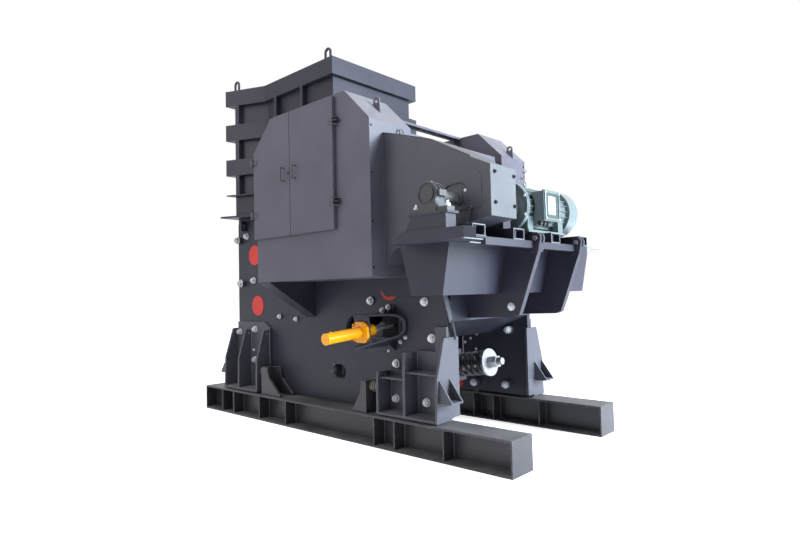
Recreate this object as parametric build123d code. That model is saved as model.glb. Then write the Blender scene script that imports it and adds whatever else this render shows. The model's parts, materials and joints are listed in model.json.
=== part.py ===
"""Single-toggle jaw crusher with feed hopper, belt drive and motor platform on two carrying beams.

X runs from the feed end (negative) to the motor end (positive), -Y is the drive side with the
belt guard, and Z is up from the ground under the carrying beams. Sizes are in millimetres.
"""
import os
from math import asin, atan2, cos, degrees, hypot, pi, radians, sin

from build123d import *

# Carrying beams
BEAM_LENGTH = 5053
BEAM_HEIGHT = 320
BEAM_WIDTH = 334
BEAM_OUTER_Y = 1051
BEAM_FLANGE = 20
BEAM_WEB = 16
STIFFENER_THICKNESS = 16
STIFFENER_INSET = 6
STIFFENERS_X = (-2092, -1810, -1209, -650, 873, 1161, 1785)

# Crusher frame
FRAME_FRONT_X = -2060
FRAME_REAR_X = 1672
FRAME_OUTER_Y = 785
PLATE_THICKNESS = 60
PLATE_BOTTOM_Z = 345
PLATE_TOP_Z = 2665
PLATE_REAR_TOP_Z = 1490
PLATE_REAR_CUT = (250, 280)
BEARING_REAR = (760, -480)
BEARING_SHOULDER = (290, 160)
BEARING_NOSE = 120
BEARING_FIT = 5
FRONT_WALL_THICKNESS = 90
FRONT_WALL_BOTTOM_Z = 850
FRONT_RIB_THICKNESS = 40
FRONT_RIBS = 4
WELD_LAP = 5
SLOT_X = 29
SLOT_Z = 683
SLOT_LENGTH = 290
SLOT_HEIGHT = 165

# Crushing chamber
JAW_TOP_Z = 2590
JAW_BOTTOM_Z = 560
GAPE = 1050
CLOSED_GAP = 150
FIXED_JAW_TOP_X = -1500
FIXED_JAW_LEAN = 170
JAW_BASE = 75
TOOTH_HEIGHT = 45
TOOTH_PITCH = 125
JAW_SEAT = 60
CHEEK_THICKNESS = 30
CHEEK_GAP = 5

# Eccentric shaft, bearings, pulley and flywheel
SHAFT_X = 340
SHAFT_Z = 2680
SHAFT_RADIUS = 130
SHAFT_END_Y = 1400
ECCENTRIC_HALF = 600
BEARING_BORE_RADIUS = 260
BEARING_FLANGE_RADIUS = 325
BEARING_FLANGE = 40
HOUSING_GAP = 35
BARREL_RADIUS = 325
BARREL_BORE_RADIUS = 190
WHEEL_RADIUS = 780
WHEEL_WIDTH = 280
PULLEY_Y = -1060
FLYWHEEL_Y = 1130
WHEEL_RIM = 120
WHEEL_WEB = 60
WHEEL_HUB_RADIUS = 230
WHEEL_HOLES = 6
WHEEL_HOLE_RADIUS = 90
BELTS = 6
BELT_WIDTH = 26
BELT_PITCH = 40
BELT_DEPTH = 20
BELT_PLAY = 0.3
GROOVE_DEPTH = 22

# Pitman
PITMAN_HALF_WIDTH = 680
PITMAN_PLATE = 90
PITMAN_RIB = 60
PITMAN_RIBS = 4
PITMAN_HEAD = (100, 30)
PITMAN_TAIL_DROP = 270
LUG_LENGTH = 120
LUG_HALF_WIDTH = 80
LUG_DROP = 40

# Toggle, wedges, tension rod
TOGGLE_THICKNESS = 70
TOGGLE_FRONT = (-780, 690)
TOGGLE_REAR = (610, 1217)
TOGGLE_END_RADIUS = 45
TOGGLE_HALF_WIDTH = 620
SEAT_RELIEF = 5
SEAT_SIZE = 150
CROSS_KNEE_X = 1150
CROSS_REAR_Z = 1288
CROSS_TOP_Z = 1540
CROSS_WALL = 40
FLOOR_THICKNESS = 30
WEDGE_X = 842
WEDGE_Z = 1217
WEDGE_THICKNESS = 240
WEDGE_HEIGHT = 240
WEDGE_END_Y = 690
WEDGE_GAP = 60
CROSS_NOSE = 10
SPRING_SEAT = 24
SPRING_SEAT_MARGIN = 30
SPRING_CHEEK = 20
SPRING_CHEEK_LENGTH = 155
ROD_RADIUS = 36
ROD_HOLE_GAP = 9
ROD_TIP = (1783, 832)
ROD_LUG = (TOGGLE_FRONT[0] + 27, TOGGLE_FRONT[1] - 210)
SPRING_RADIUS = 114
SPRING_WIRE = 40
SPRING_TURNS = 5
SPRING_FRONT_X = 1150
SPRING_WASHER_X = 1604
WASHER_RADIUS = 148
WASHER_THICKNESS = 24
NUT_RADIUS = 66
NUT_LENGTH = 50

# Feet
FOOT_TOP_Z = 1136
FOOT_SHOULDER_Z = 746
FOOT_BASE = 25
FOOT_DEPTH = 230
FOOT_BASE_LIP = 5
FLANGE_TOP_DEPTH = 97
FLANGE_SHOULDER_INSET = 10
GUSSET_TOP_DEPTH = 112
GUSSET_SHOULDER_INSET = 5
GUSSET_SHOULDER_DROP = 4
GUSSET_HOLE_RADIUS = 16
GUSSET_HOLE_DROP = 45
FOOT_FLANGE = 28
FOOT_BACK = 25
FRONT_BACK_TOP_Z = 1229
FRONT_BACK_CUT = (130, 77)
REAR_BACK_STEPS = ((1276, 780), (1530, 990), (FRAME_REAR_X, 1235))
FLANGE_INNER = 125
GUSSET_THICKNESS = 30
FRONT_GUSSETS_X = (-1739, -1313)
FRONT_GUSSET_TOP_Z = 1125
REAR_GUSSETS_X = (903, 1276)
REAR_GUSSETS_TOP_Z = (766, 981)
REAR_GUSSET_TOP_DEPTH = 215
REAR_RIBS_Z = (700, 775)
REAR_RIB_INSET = 40
REAR_RIB_THICKNESS = 16
PAD_THICKNESS = 16
PAD_INSET = 15
PAD_LAP = 20
EAR_HEIGHT = 205
EAR_REACH = 150
EAR_WIDTH = 176
EAR_PLATE = 16
EAR_FLOOR = 18
EAR_SHIFT = 8

# Stoppers and buffers on the beams
STOPPER_HEIGHT = 340
STOPPER_PLATE = 30
STOPPER_Y = 1015
STOPPER_WIDTH = 220
STOPPER_TOE = 20
FRONT_STOPPER_X = (-1192, -800)
REAR_STOPPER_X = (520, 737)
BUFFER_Z = 600
BUFFER_RADIUS = 58
BUFFER_DISCS = 4
BUFFER_GROOVE = 5

# Wedge cylinders
CYLINDER_TILT = 4.7
CYLINDER_RADIUS = 57
CYLINDER_LENGTH = 470
CYLINDER_END = 1645.33
CYLINDER_Z = 1147
COLLAR_SIZE = 215
COLLAR_CHAMFER = 55
COLLAR_THICKNESS = 34
COLLAR_LAP = 10
GLAND_RADIUS = 60
GLAND_LENGTH = 150
PISTON_ROD_RADIUS = 20
GLAND_FIT = 2
BRACKET_PLATE = 20
BRACKET_GAP = 10
BRACKET_ROOT_X = (700, 1165)
BRACKET_TIP = ((735, -1165), (850, -1245))
BRACKET_GUSSET = 16
BRACKET_GUSSET_X = 968
BRACKET_GUSSET_REACH = 150
BRACKET_GUSSET_HEIGHT = 100
OPENING_X = (190, 850, 1115)
OPENING_Z = (1045, 1165, 1335)
OPENING_CORNER = 140

# Feed hopper
HOPPER_REAR_X = 0
HOPPER_HALF_WIDTH = 762
HOPPER_KINK_X = -1411
HOPPER_FRONT_X = -1996
HOPPER_FRONT_HALF = 1013
HOPPER_TOP_Z = 4456
HOPPER_WALL = 20
HOPPER_FLANGE = 25
HOPPER_FLANGE_OUT = 45
HOPPER_CLEAR = 2
HOPPER_THROAT_GAP = 60
BAND_DEPTH = 70
RING_HEIGHT = 215
BANDS = 2
BAND_HEIGHT = 224
SHELF_Z = 2975
SHELF_THICKNESS = 16
HOPPER_RIBS_X = (-1850, -1200, -635)
HOPPER_RIB_WIDTH = 50
EYE_RADIUS = 46
EYE_ROD = 16
EYE_HEIGHT = 140
EYE_PLACES = ((-1850, -1), (-111, -1), (-1850, 1))

# Guards
GUARD_OUTER_Y = 1430
GUARD_INNER_Y = 830
FLY_GUARD_INNER_Y = 885
GUARD_FRONT_X = -610
GUARD_REAR_X = 1290
GUARD_BOTTOM_Z = 1738
GUARD_TOP_Z = 3617
GUARD_CHAMFER = 345
GUARD_SHEET = 8
GUARD_BRACKET_X = (-550, -355)
GUARD_BRACKET_BOTTOM_Z = 1310
GUARD_BRACKET_TOE = 20
GUARD_STUDS = ((-450, 1900), (-450, 2480), (950, 1900))
GUARD_STUD_RADIUS = 40
GUARD_PASSAGE_MARGIN = 30
GUARD_EYE_X = (1105, 1244)
GUARD_EYE_HALF = 50
GUARD_EYE_RADIUS = 42
GUARD_EYE_HOLE = 21
GUARD_EYE_HEIGHT = 82
GUARD_EYE_PLATE = 14
TIE_X = (550, 668)
TIE_SHEET = 6
TIE_LIP = 28
DOOR_FRONT_X = -615
DOOR_SPLIT_X = 80
DOOR_REAR_X = 800
DOOR_BOTTOM_Z = 2236
DOOR_TOP_GAP = 27
DOOR_DEPTH = 35
DOOR_CLEARANCE = 5
DOOR_SHEET = 6
DOOR_GAP = 8
DOOR_LAP = 45
FRONT_HINGES_Z = (2515, 3138)
REAR_HINGES_Z = (2512, 3333)
HINGE_OFFSET = 12
HINGE_STANDOFF = 20
HINGE_RADIUS = 14
HINGE_PIN_RADIUS = 7
HINGE_HEIGHT = 60
HINGE_LUG = 10
HINGE_GAP = 1
HINGE_PLAY = 0.3
HINGE_CLEAR = 6
HINGE_WRAP = 35
HINGE_STRAP = 80
HANDLE_Z = 2913
HANDLE_HEIGHT = 155
HANDLE_ROD = 8
HANDLE_STANDOFF = 50
HANDLE_INSET = 100

# Belt guard
BELT_GUARD_OUTER_Y = 1250
BELT_GUARD_INNER_Y = 860
BELT_GUARD_REAR_X = 2518.5
BELT_GUARD_OUTLINE = (
    (GUARD_REAR_X, 3140), (1484, 3088), (1891, 2960), (2327, 2730), (BELT_GUARD_REAR_X, 2642),
    (BELT_GUARD_REAR_X, 2205), (2390, 2190), (1434, 2005), (GUARD_REAR_X, 1860),
)
BELT_GUARD_LID = 14
BELT_GUARD_EYE = (1319, -1000)
BELT_GUARD_EYE_RADIUS = 29
BELT_GUARD_EYE_ROD = 7
BELT_GUARD_EYE_SHANK = 20
SHAFT_CUTOUT = 142
SHAFT_GAP = 12
HOOD_SHEET = 6
HOOD_TOP_Z = 3262
HOOD_TOP_FALL = 20
HOOD_REAR_X = 1250
HOOD_LOW_Z = 2400
HOOD_TAIL = (200, 100)
HOOD_SIDE_DROP = 600

# Countershaft and motor
DRIVE_X = 2160
DRIVE_Z = 2390
SMALL_PULLEY_RADIUS = 130
COUNTERSHAFT_RADIUS = 45
BLOCK_RADIUS = 92
BLOCK_THICKNESS = 120
BLOCK_LENGTH = 400
BLOCK_BASE_Z = 2237
BLOCK_BASE = 36
BLOCK_BASE_INSET = 10
BLOCK_SPLIT = (26, 34, 14)
BLOCK_COVER = 14
BLOCK_COVER_RADIUS = 66
NIPPLE_RADIUS = 12
NIPPLE_HEIGHT = 24
BLOCK_OUTER_Y = -1640
INNER_BLOCK_Y = -830
SUPPORT_MARGIN = 10
SUPPORT_WIDTH = 150
SUPPORT_PLATE = 20
SUPPORT_INSET = 8
SUPPORT_END_INSET = 25
SUPPORT_GUSSET = (70, 12)
COUPLING_RADIUS = 120
COUPLING_HALF = 80
MOTOR_FRONT_Y = -440
MOTOR_END_Y = 617
MOTOR_RADIUS = 225
MOTOR_SHIELD_RADIUS = 248
FAN_COVER_LENGTH = 215
FIN_COUNT = 24
FIN_HEIGHT = 20
FIN_THICKNESS = 7
FIN_START = 30
SHIELD_LENGTH = 32
FAN_ROUNDING = 40
FOOT_LEG_X = 175
FOOT_LEG_HALF = 32
FOOT_LEG_LENGTH = 100
FOOT_LEG_INSETS = (45, 190)
FOOT_LEG_RISE = 100
FOOT_BAR_HALF = 45
FOOT_BAR_HEIGHT = 24
FOOT_BAR_INSETS = (40, 60)
TERMINAL_LID = 14
TERMINAL_LID_LIP = 10
TERMINAL_BOX = (2265, 2490, -285, 5, 2250, 2530)
MOTOR_FOOT_Z = 2136

# Motor platform
PLATFORM_TOP_Z = 2036
PLATFORM_PLATE = 18
PLATFORM_FRONT_X = 1640
PLATFORM_REAR_X = 2400
PLATFORM_FAR_Y = 674
NEAR_BOX = (1705, 2526, -1650, -1480, 2095)
NEAR_BOX_SLANT = 180
NEAR_BOX_SKIRT = 20
EDGE_PLATE_Y = (-1535, -1281)
EDGE_PLATE_X = 2490
BAR_DEPTH = 60
BAR_HEIGHT = 66
BAR_NEAR_Y = -1250
RAIL_WIDTH = 180
RAIL_HEIGHT = 100
RAIL_WALL = 12
RAILS_Y = (-1345, -722, -31, 582)
RAIL_FRONT_X = 1850
TRAY_HALF_WIDTH = 1350
TRAY_BOTTOM_Z = 1552
TRAY_TOP_X = (1583, 2156)
TRAY_BOTTOM_X = (1710, 2070)
ARM_Y = 420
ARM_THICKNESS = 60
ARM_FORK_GAP = 30
ARM_FORK_WIDTH = 90
ARM_FORK_CLEAR = 6
ARM_PIN = (2478, 2062)
ARM_PIN_RADIUS = 22
ARM_EAR_RADIUS = 55
ARM_FORK_DROP = 130
ARM_ROOT_Z = 1310
ARM_HEEL = ((2215, 1325), (2273, 1345), (2334, 1502))
ARM_BACK = ((2432, 1770), (2506, 1963))
PLATFORM_LUG_GAP = 1
PLATFORM_LUG_RADIUS = 35
PLATFORM_LUG_ROOT = (60, 40)
ARM_PIN_HEAD = 14
TRAY_BRACKET = ((624, 1735), (860, 1542))
TRAY_BRACKET_TOP = ((1290, 1900), (1000, 1735))
TRAY_BRACKET_HIGH_Z = 1980
TRAY_BRACKET_PLATE = 20
SCREW_BLOCK = (30, 28, 150)
SCREW_RADIUS = 14
SCREW_LENGTH = 190

# Small parts
BOLT_RADIUS = 34
BOLT_HEAD = 30
DISC_RADIUS = 136
DISC_THICKNESS = 6
DISCS = ((-1662, 2141), (-1596, 1449), (897, 1639))
INNER_DISC = (645, 425)
INNER_DISC_RADIUS = 75
PLATE_BOLTS = ((-1850, 2417), (-1690, 1795), (617, 1501), (1385, 1484), (1470, 1118), (976, 835))
SMALL_BOLTS = ((-1078, 1308), (-729, 1279), (888, 1430), (802, 1397))
BOSS_BOLT = (617, 1501)
BOSS_RADIUS = 48
BOSS_HEIGHT = 14
INNER_BOLTS = ((1440, 1109), (1384, 458), (927, 445))
SLEEVE_RADIUS = 44
SLEEVE_LENGTH = 34
FOOT_BOLTS = ((-2010, 1084), (-1625, 1129), (-1640, 716), (1405, 479), (985, 475))
FRONT_BOLTS_Z = (2376, 1762)
SMALL_BOLT_SHARE = 0.6
FRAME_LUG_X = (-1900, -1860)
FRAME_LUG_REACH = 85
FRAME_LUG_DROP = (30, 170)
FRAME_LUG_HOLE = (45, 100, 24)

# Derived places
INNER_Y = FRAME_OUTER_Y - PLATE_THICKNESS
PAD_TOP_Z = BEAM_HEIGHT + PAD_THICKNESS
FOOT_BASE_Z = PAD_TOP_Z + FOOT_BASE
JAW_HALF_WIDTH = INNER_Y - CHEEK_THICKNESS - CHEEK_GAP
JAW_HEIGHT = JAW_TOP_Z - JAW_BOTTOM_Z
MOVING_JAW_TOP_X = FIXED_JAW_TOP_X + GAPE
FIXED_JAW_BOTTOM_X = FIXED_JAW_TOP_X + FIXED_JAW_LEAN
MOVING_JAW_BOTTOM_X = FIXED_JAW_BOTTOM_X + CLOSED_GAP
JAW_THICKNESS = JAW_BASE + TOOTH_HEIGHT
PULLEY_FLOOR = WHEEL_RADIUS - GROOVE_DEPTH
SMALL_FLOOR = SMALL_PULLEY_RADIUS - GROOVE_DEPTH
ROD_SLOPE = degrees(atan2(ROD_TIP[1] - ROD_LUG[1], ROD_TIP[0] - ROD_LUG[0]))
ROD_LENGTH = hypot(ROD_TIP[0] - ROD_LUG[0], ROD_TIP[1] - ROD_LUG[1]) + LUG_LENGTH / 2
WEDGE_BOTTOM_Z = WEDGE_Z - WEDGE_HEIGHT / 2
ARM_TOP_Z = PLATFORM_TOP_Z - PLATFORM_PLATE
BAND_GAP = (HOPPER_TOP_Z - RING_HEIGHT - SHELF_Z - SHELF_THICKNESS - BANDS * BAND_HEIGHT) / (BANDS + 1)


def block(x0, x1, y0, y1, z0, z1):
    """Box between two corners."""
    middle = Pos((x0 + x1) / 2, (y0 + y1) / 2, (z0 + z1) / 2)
    return middle * Box(abs(x1 - x0), abs(y1 - y0), abs(z1 - z0))


def side_profile(points, y0, y1):
    """Outline seen from the side, given as (x, z), between two Y planes."""
    face = make_face(Polyline(*[(x, y0, z) for x, z in points], close=True))
    return extrude(face, amount=y1 - y0, dir=(0, 1, 0))


def end_profile(points, x0, x1):
    """Outline seen from the end, given as (y, z), between two X planes."""
    face = make_face(Polyline(*[(x0, y, z) for y, z in points], close=True))
    return extrude(face, amount=x1 - x0, dir=(1, 0, 0))


def plan_profile(points, z0, z1):
    """Outline seen from above, given as (x, y), between two heights."""
    face = make_face(Polyline(*[(x, y, z0) for x, y in points], close=True))
    return extrude(face, amount=z1 - z0, dir=(0, 0, 1))


def along_x(y, z, radius, x0, x1):
    """Round bar along X."""
    return Pos((x0 + x1) / 2, y, z) * Rot(0, 90, 0) * Cylinder(radius, abs(x1 - x0))


def along_y(x, z, radius, y0, y1):
    """Round bar along Y."""
    return Pos(x, (y0 + y1) / 2, z) * Rot(90, 0, 0) * Cylinder(radius, abs(y1 - y0))


def along_z(x, y, radius, z0, z1):
    """Round bar along Z."""
    return Pos(x, y, (z0 + z1) / 2) * Cylinder(radius, abs(z1 - z0))


def opposite(shape):
    """The same piece on the other side of the machine."""
    return mirror(shape, about=Plane.XZ)


def hex_along_y(x, z, radius, y0, y1):
    """Hexagon head along Y."""
    corners = [(x + radius * cos(radians(60 * k)), z + radius * sin(radians(60 * k)))
               for k in range(6)]
    return side_profile(corners, min(y0, y1), max(y0, y1))


def save(name, *shapes):
    """Write one named piece, or a set of like pieces, to its own file."""
    solids = [solid for shape in shapes for solid in shape.solids()]
    export_step(Compound(children=solids), f"parts/{name}.step")


def carrying_beam():
    """Welded I-beam with closed ends and web stiffeners on both sides."""
    half = BEAM_LENGTH / 2
    y0 = -BEAM_OUTER_Y
    y1 = y0 + BEAM_WIDTH
    y_web = (y0 + y1) / 2
    beam = block(-half, half, y0, y1, 0, BEAM_FLANGE)
    beam += block(-half, half, y0, y1, BEAM_HEIGHT - BEAM_FLANGE, BEAM_HEIGHT)
    beam += block(-half, half, y_web - BEAM_WEB / 2, y_web + BEAM_WEB / 2, 0, BEAM_HEIGHT)
    for x0 in (-half, half - STIFFENER_THICKNESS):
        beam += block(x0, x0 + STIFFENER_THICKNESS, y0, y1, 0, BEAM_HEIGHT)
    for x in STIFFENERS_X:
        beam += block(x - STIFFENER_THICKNESS / 2, x + STIFFENER_THICKNESS / 2,
                      y0 + STIFFENER_INSET, y1 - STIFFENER_INSET, 0, BEAM_HEIGHT)
    return beam


def fixed_face_x(z):
    """Tooth tips of the fixed jaw at a height."""
    return FIXED_JAW_TOP_X + FIXED_JAW_LEAN * (JAW_TOP_Z - z) / JAW_HEIGHT


def moving_face_x(z):
    """Tooth tips of the moving jaw at a height."""
    run = MOVING_JAW_BOTTOM_X - MOVING_JAW_TOP_X
    return MOVING_JAW_TOP_X + run * (JAW_TOP_Z - z) / JAW_HEIGHT


def opening_face():
    """Rounded window of the side plate round the end of the adjusting wedge."""
    left, knee, right = OPENING_X
    low, rear_low, high = OPENING_Z
    y = -FRAME_OUTER_Y
    points = [(left, low), (knee, low), (right, rear_low), (right, high), (left, high)]
    window = make_face(Polyline(*[(x, y, z) for x, z in points], close=True))
    for corner_x, radius in ((left, OPENING_CORNER), (right, OPENING_CORNER / 2)):
        corners = [v for v in window.vertices() if abs(v.X - corner_x) < 1]
        window = fillet(corners, radius)
    return window


def window_solid(grow, y0, y1):
    """The window's outline, grown all round, between two Y planes."""
    window = opening_face()
    if grow:
        window = offset(window, amount=grow)
    placed = Pos(0, y0 + FRAME_OUTER_Y, 0) * window
    return extrude(placed, amount=y1 - y0, dir=(0, 1, 0))


def opening_low_z(x):
    """Lower edge of the window at a place behind its knee."""
    left, knee, right = OPENING_X
    low, rear_low, high = OPENING_Z
    return low + (rear_low - low) * (x - knee) / (right - knee)


def side_plate():
    """Thick side plate with its bearing seat, wedge window and lifting slot."""
    shoulder_z = SHAFT_Z + BEARING_SHOULDER[1]
    outline = [(FRAME_FRONT_X, PLATE_BOTTOM_Z), (FRAME_REAR_X, PLATE_BOTTOM_Z),
               (FRAME_REAR_X, PLATE_REAR_TOP_Z),
               (FRAME_REAR_X - PLATE_REAR_CUT[0], PLATE_REAR_TOP_Z + PLATE_REAR_CUT[1]),
               (SHAFT_X + BEARING_REAR[0], SHAFT_Z + BEARING_REAR[1]),
               (SHAFT_X + BEARING_SHOULDER[0], shoulder_z), (SHAFT_X - BEARING_NOSE, shoulder_z),
               (HOPPER_REAR_X + HOPPER_CLEAR, PLATE_TOP_Z), (FRAME_FRONT_X, PLATE_TOP_Z)]
    plate = side_profile(outline, -FRAME_OUTER_Y, -INNER_Y)
    plate += along_y(SHAFT_X, SHAFT_Z, BEARING_FLANGE_RADIUS + BEARING_FIT, -FRAME_OUTER_Y, -INNER_Y)
    plate -= along_y(SHAFT_X, SHAFT_Z, BEARING_BORE_RADIUS, -FRAME_OUTER_Y, -INNER_Y)
    slot = Rot(90, 0, 0) * extrude(SlotOverall(SLOT_LENGTH, SLOT_HEIGHT),
                                   amount=PLATE_THICKNESS * 2, both=True)
    plate -= Pos(SLOT_X, -FRAME_OUTER_Y, SLOT_Z) * slot
    return plate - window_solid(0, -FRAME_OUTER_Y, -INNER_Y)


def bearing_housing():
    """Flanged bearing housing seated in the side plate, bored for the shaft."""
    hub_end = INNER_Y - HOUSING_GAP
    housing = along_y(SHAFT_X, SHAFT_Z, BEARING_BORE_RADIUS, -FRAME_OUTER_Y, -hub_end)
    housing += along_y(SHAFT_X, SHAFT_Z, BEARING_FLANGE_RADIUS,
                       -FRAME_OUTER_Y - BEARING_FLANGE, -FRAME_OUTER_Y)
    return housing - along_y(SHAFT_X, SHAFT_Z, SHAFT_RADIUS,
                             -FRAME_OUTER_Y - BEARING_FLANGE, -hub_end)


def front_wall():
    """Front frame wall with vertical ribs and the leaning seat of the fixed jaw."""
    wall_back = FRAME_FRONT_X + FRONT_WALL_THICKNESS
    seat_back = [fixed_face_x(z) - JAW_THICKNESS - JAW_SEAT for z in (JAW_TOP_Z, JAW_BOTTOM_Z)]
    seat = [(seat_back[0], JAW_TOP_Z), (seat_back[0] + JAW_SEAT, JAW_TOP_Z),
            (seat_back[1] + JAW_SEAT, JAW_BOTTOM_Z), (seat_back[1], JAW_BOTTOM_Z)]
    wall = block(FRAME_FRONT_X, wall_back, -INNER_Y, INNER_Y, FRONT_WALL_BOTTOM_Z, PLATE_TOP_Z)
    wall += side_profile(seat, -INNER_Y, INNER_Y)
    rib = [(wall_back, FRONT_WALL_BOTTOM_Z), (wall_back, JAW_TOP_Z),
           (seat_back[0] + WELD_LAP, JAW_TOP_Z), (seat_back[1] + WELD_LAP, JAW_BOTTOM_Z)]
    spacing = 2 * INNER_Y / (FRONT_RIBS + 1)
    for k in range(FRONT_RIBS):
        y = -INNER_Y + spacing * (k + 1)
        wall += side_profile(rib, y - FRONT_RIB_THICKNESS / 2, y + FRONT_RIB_THICKNESS / 2)
    return wall


def jaw_liner(bottom_x, top_x, side, offset):
    """Corrugated jaw liner, its teeth pointing to one side along X, leaning with the jaw."""
    def at(depth, y):
        return (bottom_x - side * depth, y)

    flat = TOOTH_PITCH / 8
    points = [at(JAW_THICKNESS, -JAW_HALF_WIDTH), at(TOOTH_HEIGHT, -JAW_HALF_WIDTH)]
    y = -JAW_HALF_WIDTH + offset
    while y + TOOTH_PITCH < JAW_HALF_WIDTH:
        points += [at(TOOTH_HEIGHT, y + flat), at(0, y + TOOTH_PITCH / 2 - flat),
                   at(0, y + TOOTH_PITCH / 2 + flat), at(TOOTH_HEIGHT, y + TOOTH_PITCH - flat)]
        y += TOOTH_PITCH
    points += [at(TOOTH_HEIGHT, JAW_HALF_WIDTH), at(JAW_THICKNESS, JAW_HALF_WIDTH)]
    face = make_face(Polyline(*[(x, y, JAW_BOTTOM_Z) for x, y in points], close=True))
    run = top_x - bottom_x
    length = hypot(run, JAW_HEIGHT)
    return extrude(face, amount=length, dir=(run / length, 0, JAW_HEIGHT / length))


def cheek_plate():
    """Wear plate on the inner face of a side plate, between the two jaws."""
    bottom = JAW_BOTTOM_Z + CHEEK_GAP
    front_top = fixed_face_x(JAW_TOP_Z) - JAW_THICKNESS
    front_bottom = fixed_face_x(bottom) - JAW_THICKNESS
    outline = [(front_top, JAW_TOP_Z), (moving_face_x(JAW_TOP_Z) + JAW_THICKNESS, JAW_TOP_Z),
               (moving_face_x(bottom) + JAW_THICKNESS, bottom), (front_bottom, bottom)]
    return side_profile(outline, -INNER_Y, -INNER_Y + CHEEK_THICKNESS)


def toggle_axis():
    """Length and slope of the toggle plate between its two seats."""
    run = TOGGLE_REAR[0] - TOGGLE_FRONT[0]
    rise = TOGGLE_REAR[1] - TOGGLE_FRONT[1]
    return hypot(run, rise), degrees(atan2(rise, run))


def toggle_plate():
    """Toggle plate with rounded ends that roll in the seats."""
    length, slope = toggle_axis()
    width = TOGGLE_HALF_WIDTH
    plate = block(0, length, -width, width, -TOGGLE_THICKNESS / 2, TOGGLE_THICKNESS / 2)
    for x in (0, length):
        plate += along_y(x, 0, TOGGLE_END_RADIUS, -width, width)
    return Pos(TOGGLE_FRONT[0], 0, TOGGLE_FRONT[1]) * Rot(0, -slope, 0) * plate


def tension_rod_plane():
    """Plane at the tip of the tension rod, its Z pointing back along the rod."""
    slope = radians(ROD_SLOPE)
    return Plane(origin=(ROD_TIP[0], 0, ROD_TIP[1]), x_dir=(0, 1, 0),
                 z_dir=(-cos(slope), 0, -sin(slope)))


def from_tip(x):
    """Distance along the tension rod from its tip to a place in X."""
    return (ROD_TIP[0] - x) / cos(radians(ROD_SLOPE))


def rod_z(x):
    """Height of the tension rod's axis at a place in X."""
    slope = (ROD_TIP[1] - ROD_LUG[1]) / (ROD_TIP[0] - ROD_LUG[0])
    return ROD_TIP[1] - (ROD_TIP[0] - x) * slope


def on_rod(shape, distance):
    """Place a shape that stands on its own Z axis along the tension rod."""
    return tension_rod_plane() * Pos(0, 0, distance) * shape


def tension_rod():
    """Tension rod with its washer and two nuts."""
    washer = from_tip(SPRING_WASHER_X + WASHER_THICKNESS)
    rod = on_rod(Pos(0, 0, ROD_LENGTH / 2) * Cylinder(ROD_RADIUS, ROD_LENGTH), 0)
    disc = on_rod(Pos(0, 0, WASHER_THICKNESS / 2) * Cylinder(WASHER_RADIUS, WASHER_THICKNESS),
                  washer)
    nut = extrude(RegularPolygon(NUT_RADIUS, 6), amount=NUT_LENGTH)
    parts = rod + disc
    for k in range(2):
        parts += on_rod(nut, washer - (k + 1) * (NUT_LENGTH + 2) + 2)
    return parts


def tension_spring():
    """Coil spring between the spring seat and the washer."""
    start = from_tip(SPRING_WASHER_X)
    end = from_tip(SPRING_FRONT_X)
    height = end - start - SPRING_WIRE
    path = Helix(pitch=height / SPRING_TURNS, height=height, radius=SPRING_RADIUS)
    wire = Plane(origin=path @ 0, z_dir=path % 0) * Circle(SPRING_WIRE / 2 - 0.2)
    coil = sweep(wire, path=path)
    return on_rod(coil, start + SPRING_WIRE / 2)


def pitman():
    """Swing jaw: front plate, ribs, barrel round the shaft, toggle seat and rod lug."""
    back_top = moving_face_x(JAW_TOP_Z) + JAW_THICKNESS
    back_bottom = moving_face_x(JAW_BOTTOM_Z) + JAW_THICKNESS
    plate = [(back_top, JAW_TOP_Z), (back_bottom, JAW_BOTTOM_Z),
             (back_bottom + PITMAN_PLATE, JAW_BOTTOM_Z), (back_top + PITMAN_PLATE, JAW_TOP_Z)]
    body = side_profile(plate, -PITMAN_HALF_WIDTH, PITMAN_HALF_WIDTH)
    seat_x, seat_z = TOGGLE_FRONT
    seat_low = seat_z - SEAT_SIZE / 2
    rib = [(back_top + WELD_LAP, JAW_TOP_Z),
           (SHAFT_X - PITMAN_HEAD[0], SHAFT_Z - PITMAN_HEAD[1]),
           (SHAFT_X + PITMAN_HEAD[0], SHAFT_Z - PITMAN_TAIL_DROP),
           (seat_x - WELD_LAP, seat_z + SEAT_SIZE / 2), (seat_x - SEAT_SIZE + WELD_LAP, seat_low),
           (back_bottom + WELD_LAP, JAW_BOTTOM_Z)]
    pitch = (2 * PITMAN_HALF_WIDTH - PITMAN_RIB) / (PITMAN_RIBS - 1)
    for k in range(PITMAN_RIBS):
        y = -PITMAN_HALF_WIDTH + k * pitch
        body += side_profile(rib, y, y + PITMAN_RIB)
    body += along_y(SHAFT_X, SHAFT_Z, BARREL_RADIUS, -PITMAN_HALF_WIDTH, PITMAN_HALF_WIDTH)
    body += block(seat_x - SEAT_SIZE, seat_x - SEAT_RELIEF, -TOGGLE_HALF_WIDTH, TOGGLE_HALF_WIDTH,
                  seat_low, seat_z + SEAT_SIZE / 2)
    lug_x, lug_z = ROD_LUG
    body += block(lug_x - LUG_LENGTH / 2, lug_x + LUG_LENGTH / 2, -LUG_HALF_WIDTH, LUG_HALF_WIDTH,
                  lug_z - LUG_DROP, seat_z)
    body -= along_y(SHAFT_X, SHAFT_Z, BARREL_BORE_RADIUS, -PITMAN_HALF_WIDTH, PITMAN_HALF_WIDTH)
    body -= toggle_plate()
    return body - on_rod(Pos(0, 0, ROD_LENGTH / 2) * Cylinder(ROD_RADIUS, ROD_LENGTH), 0)


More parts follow.
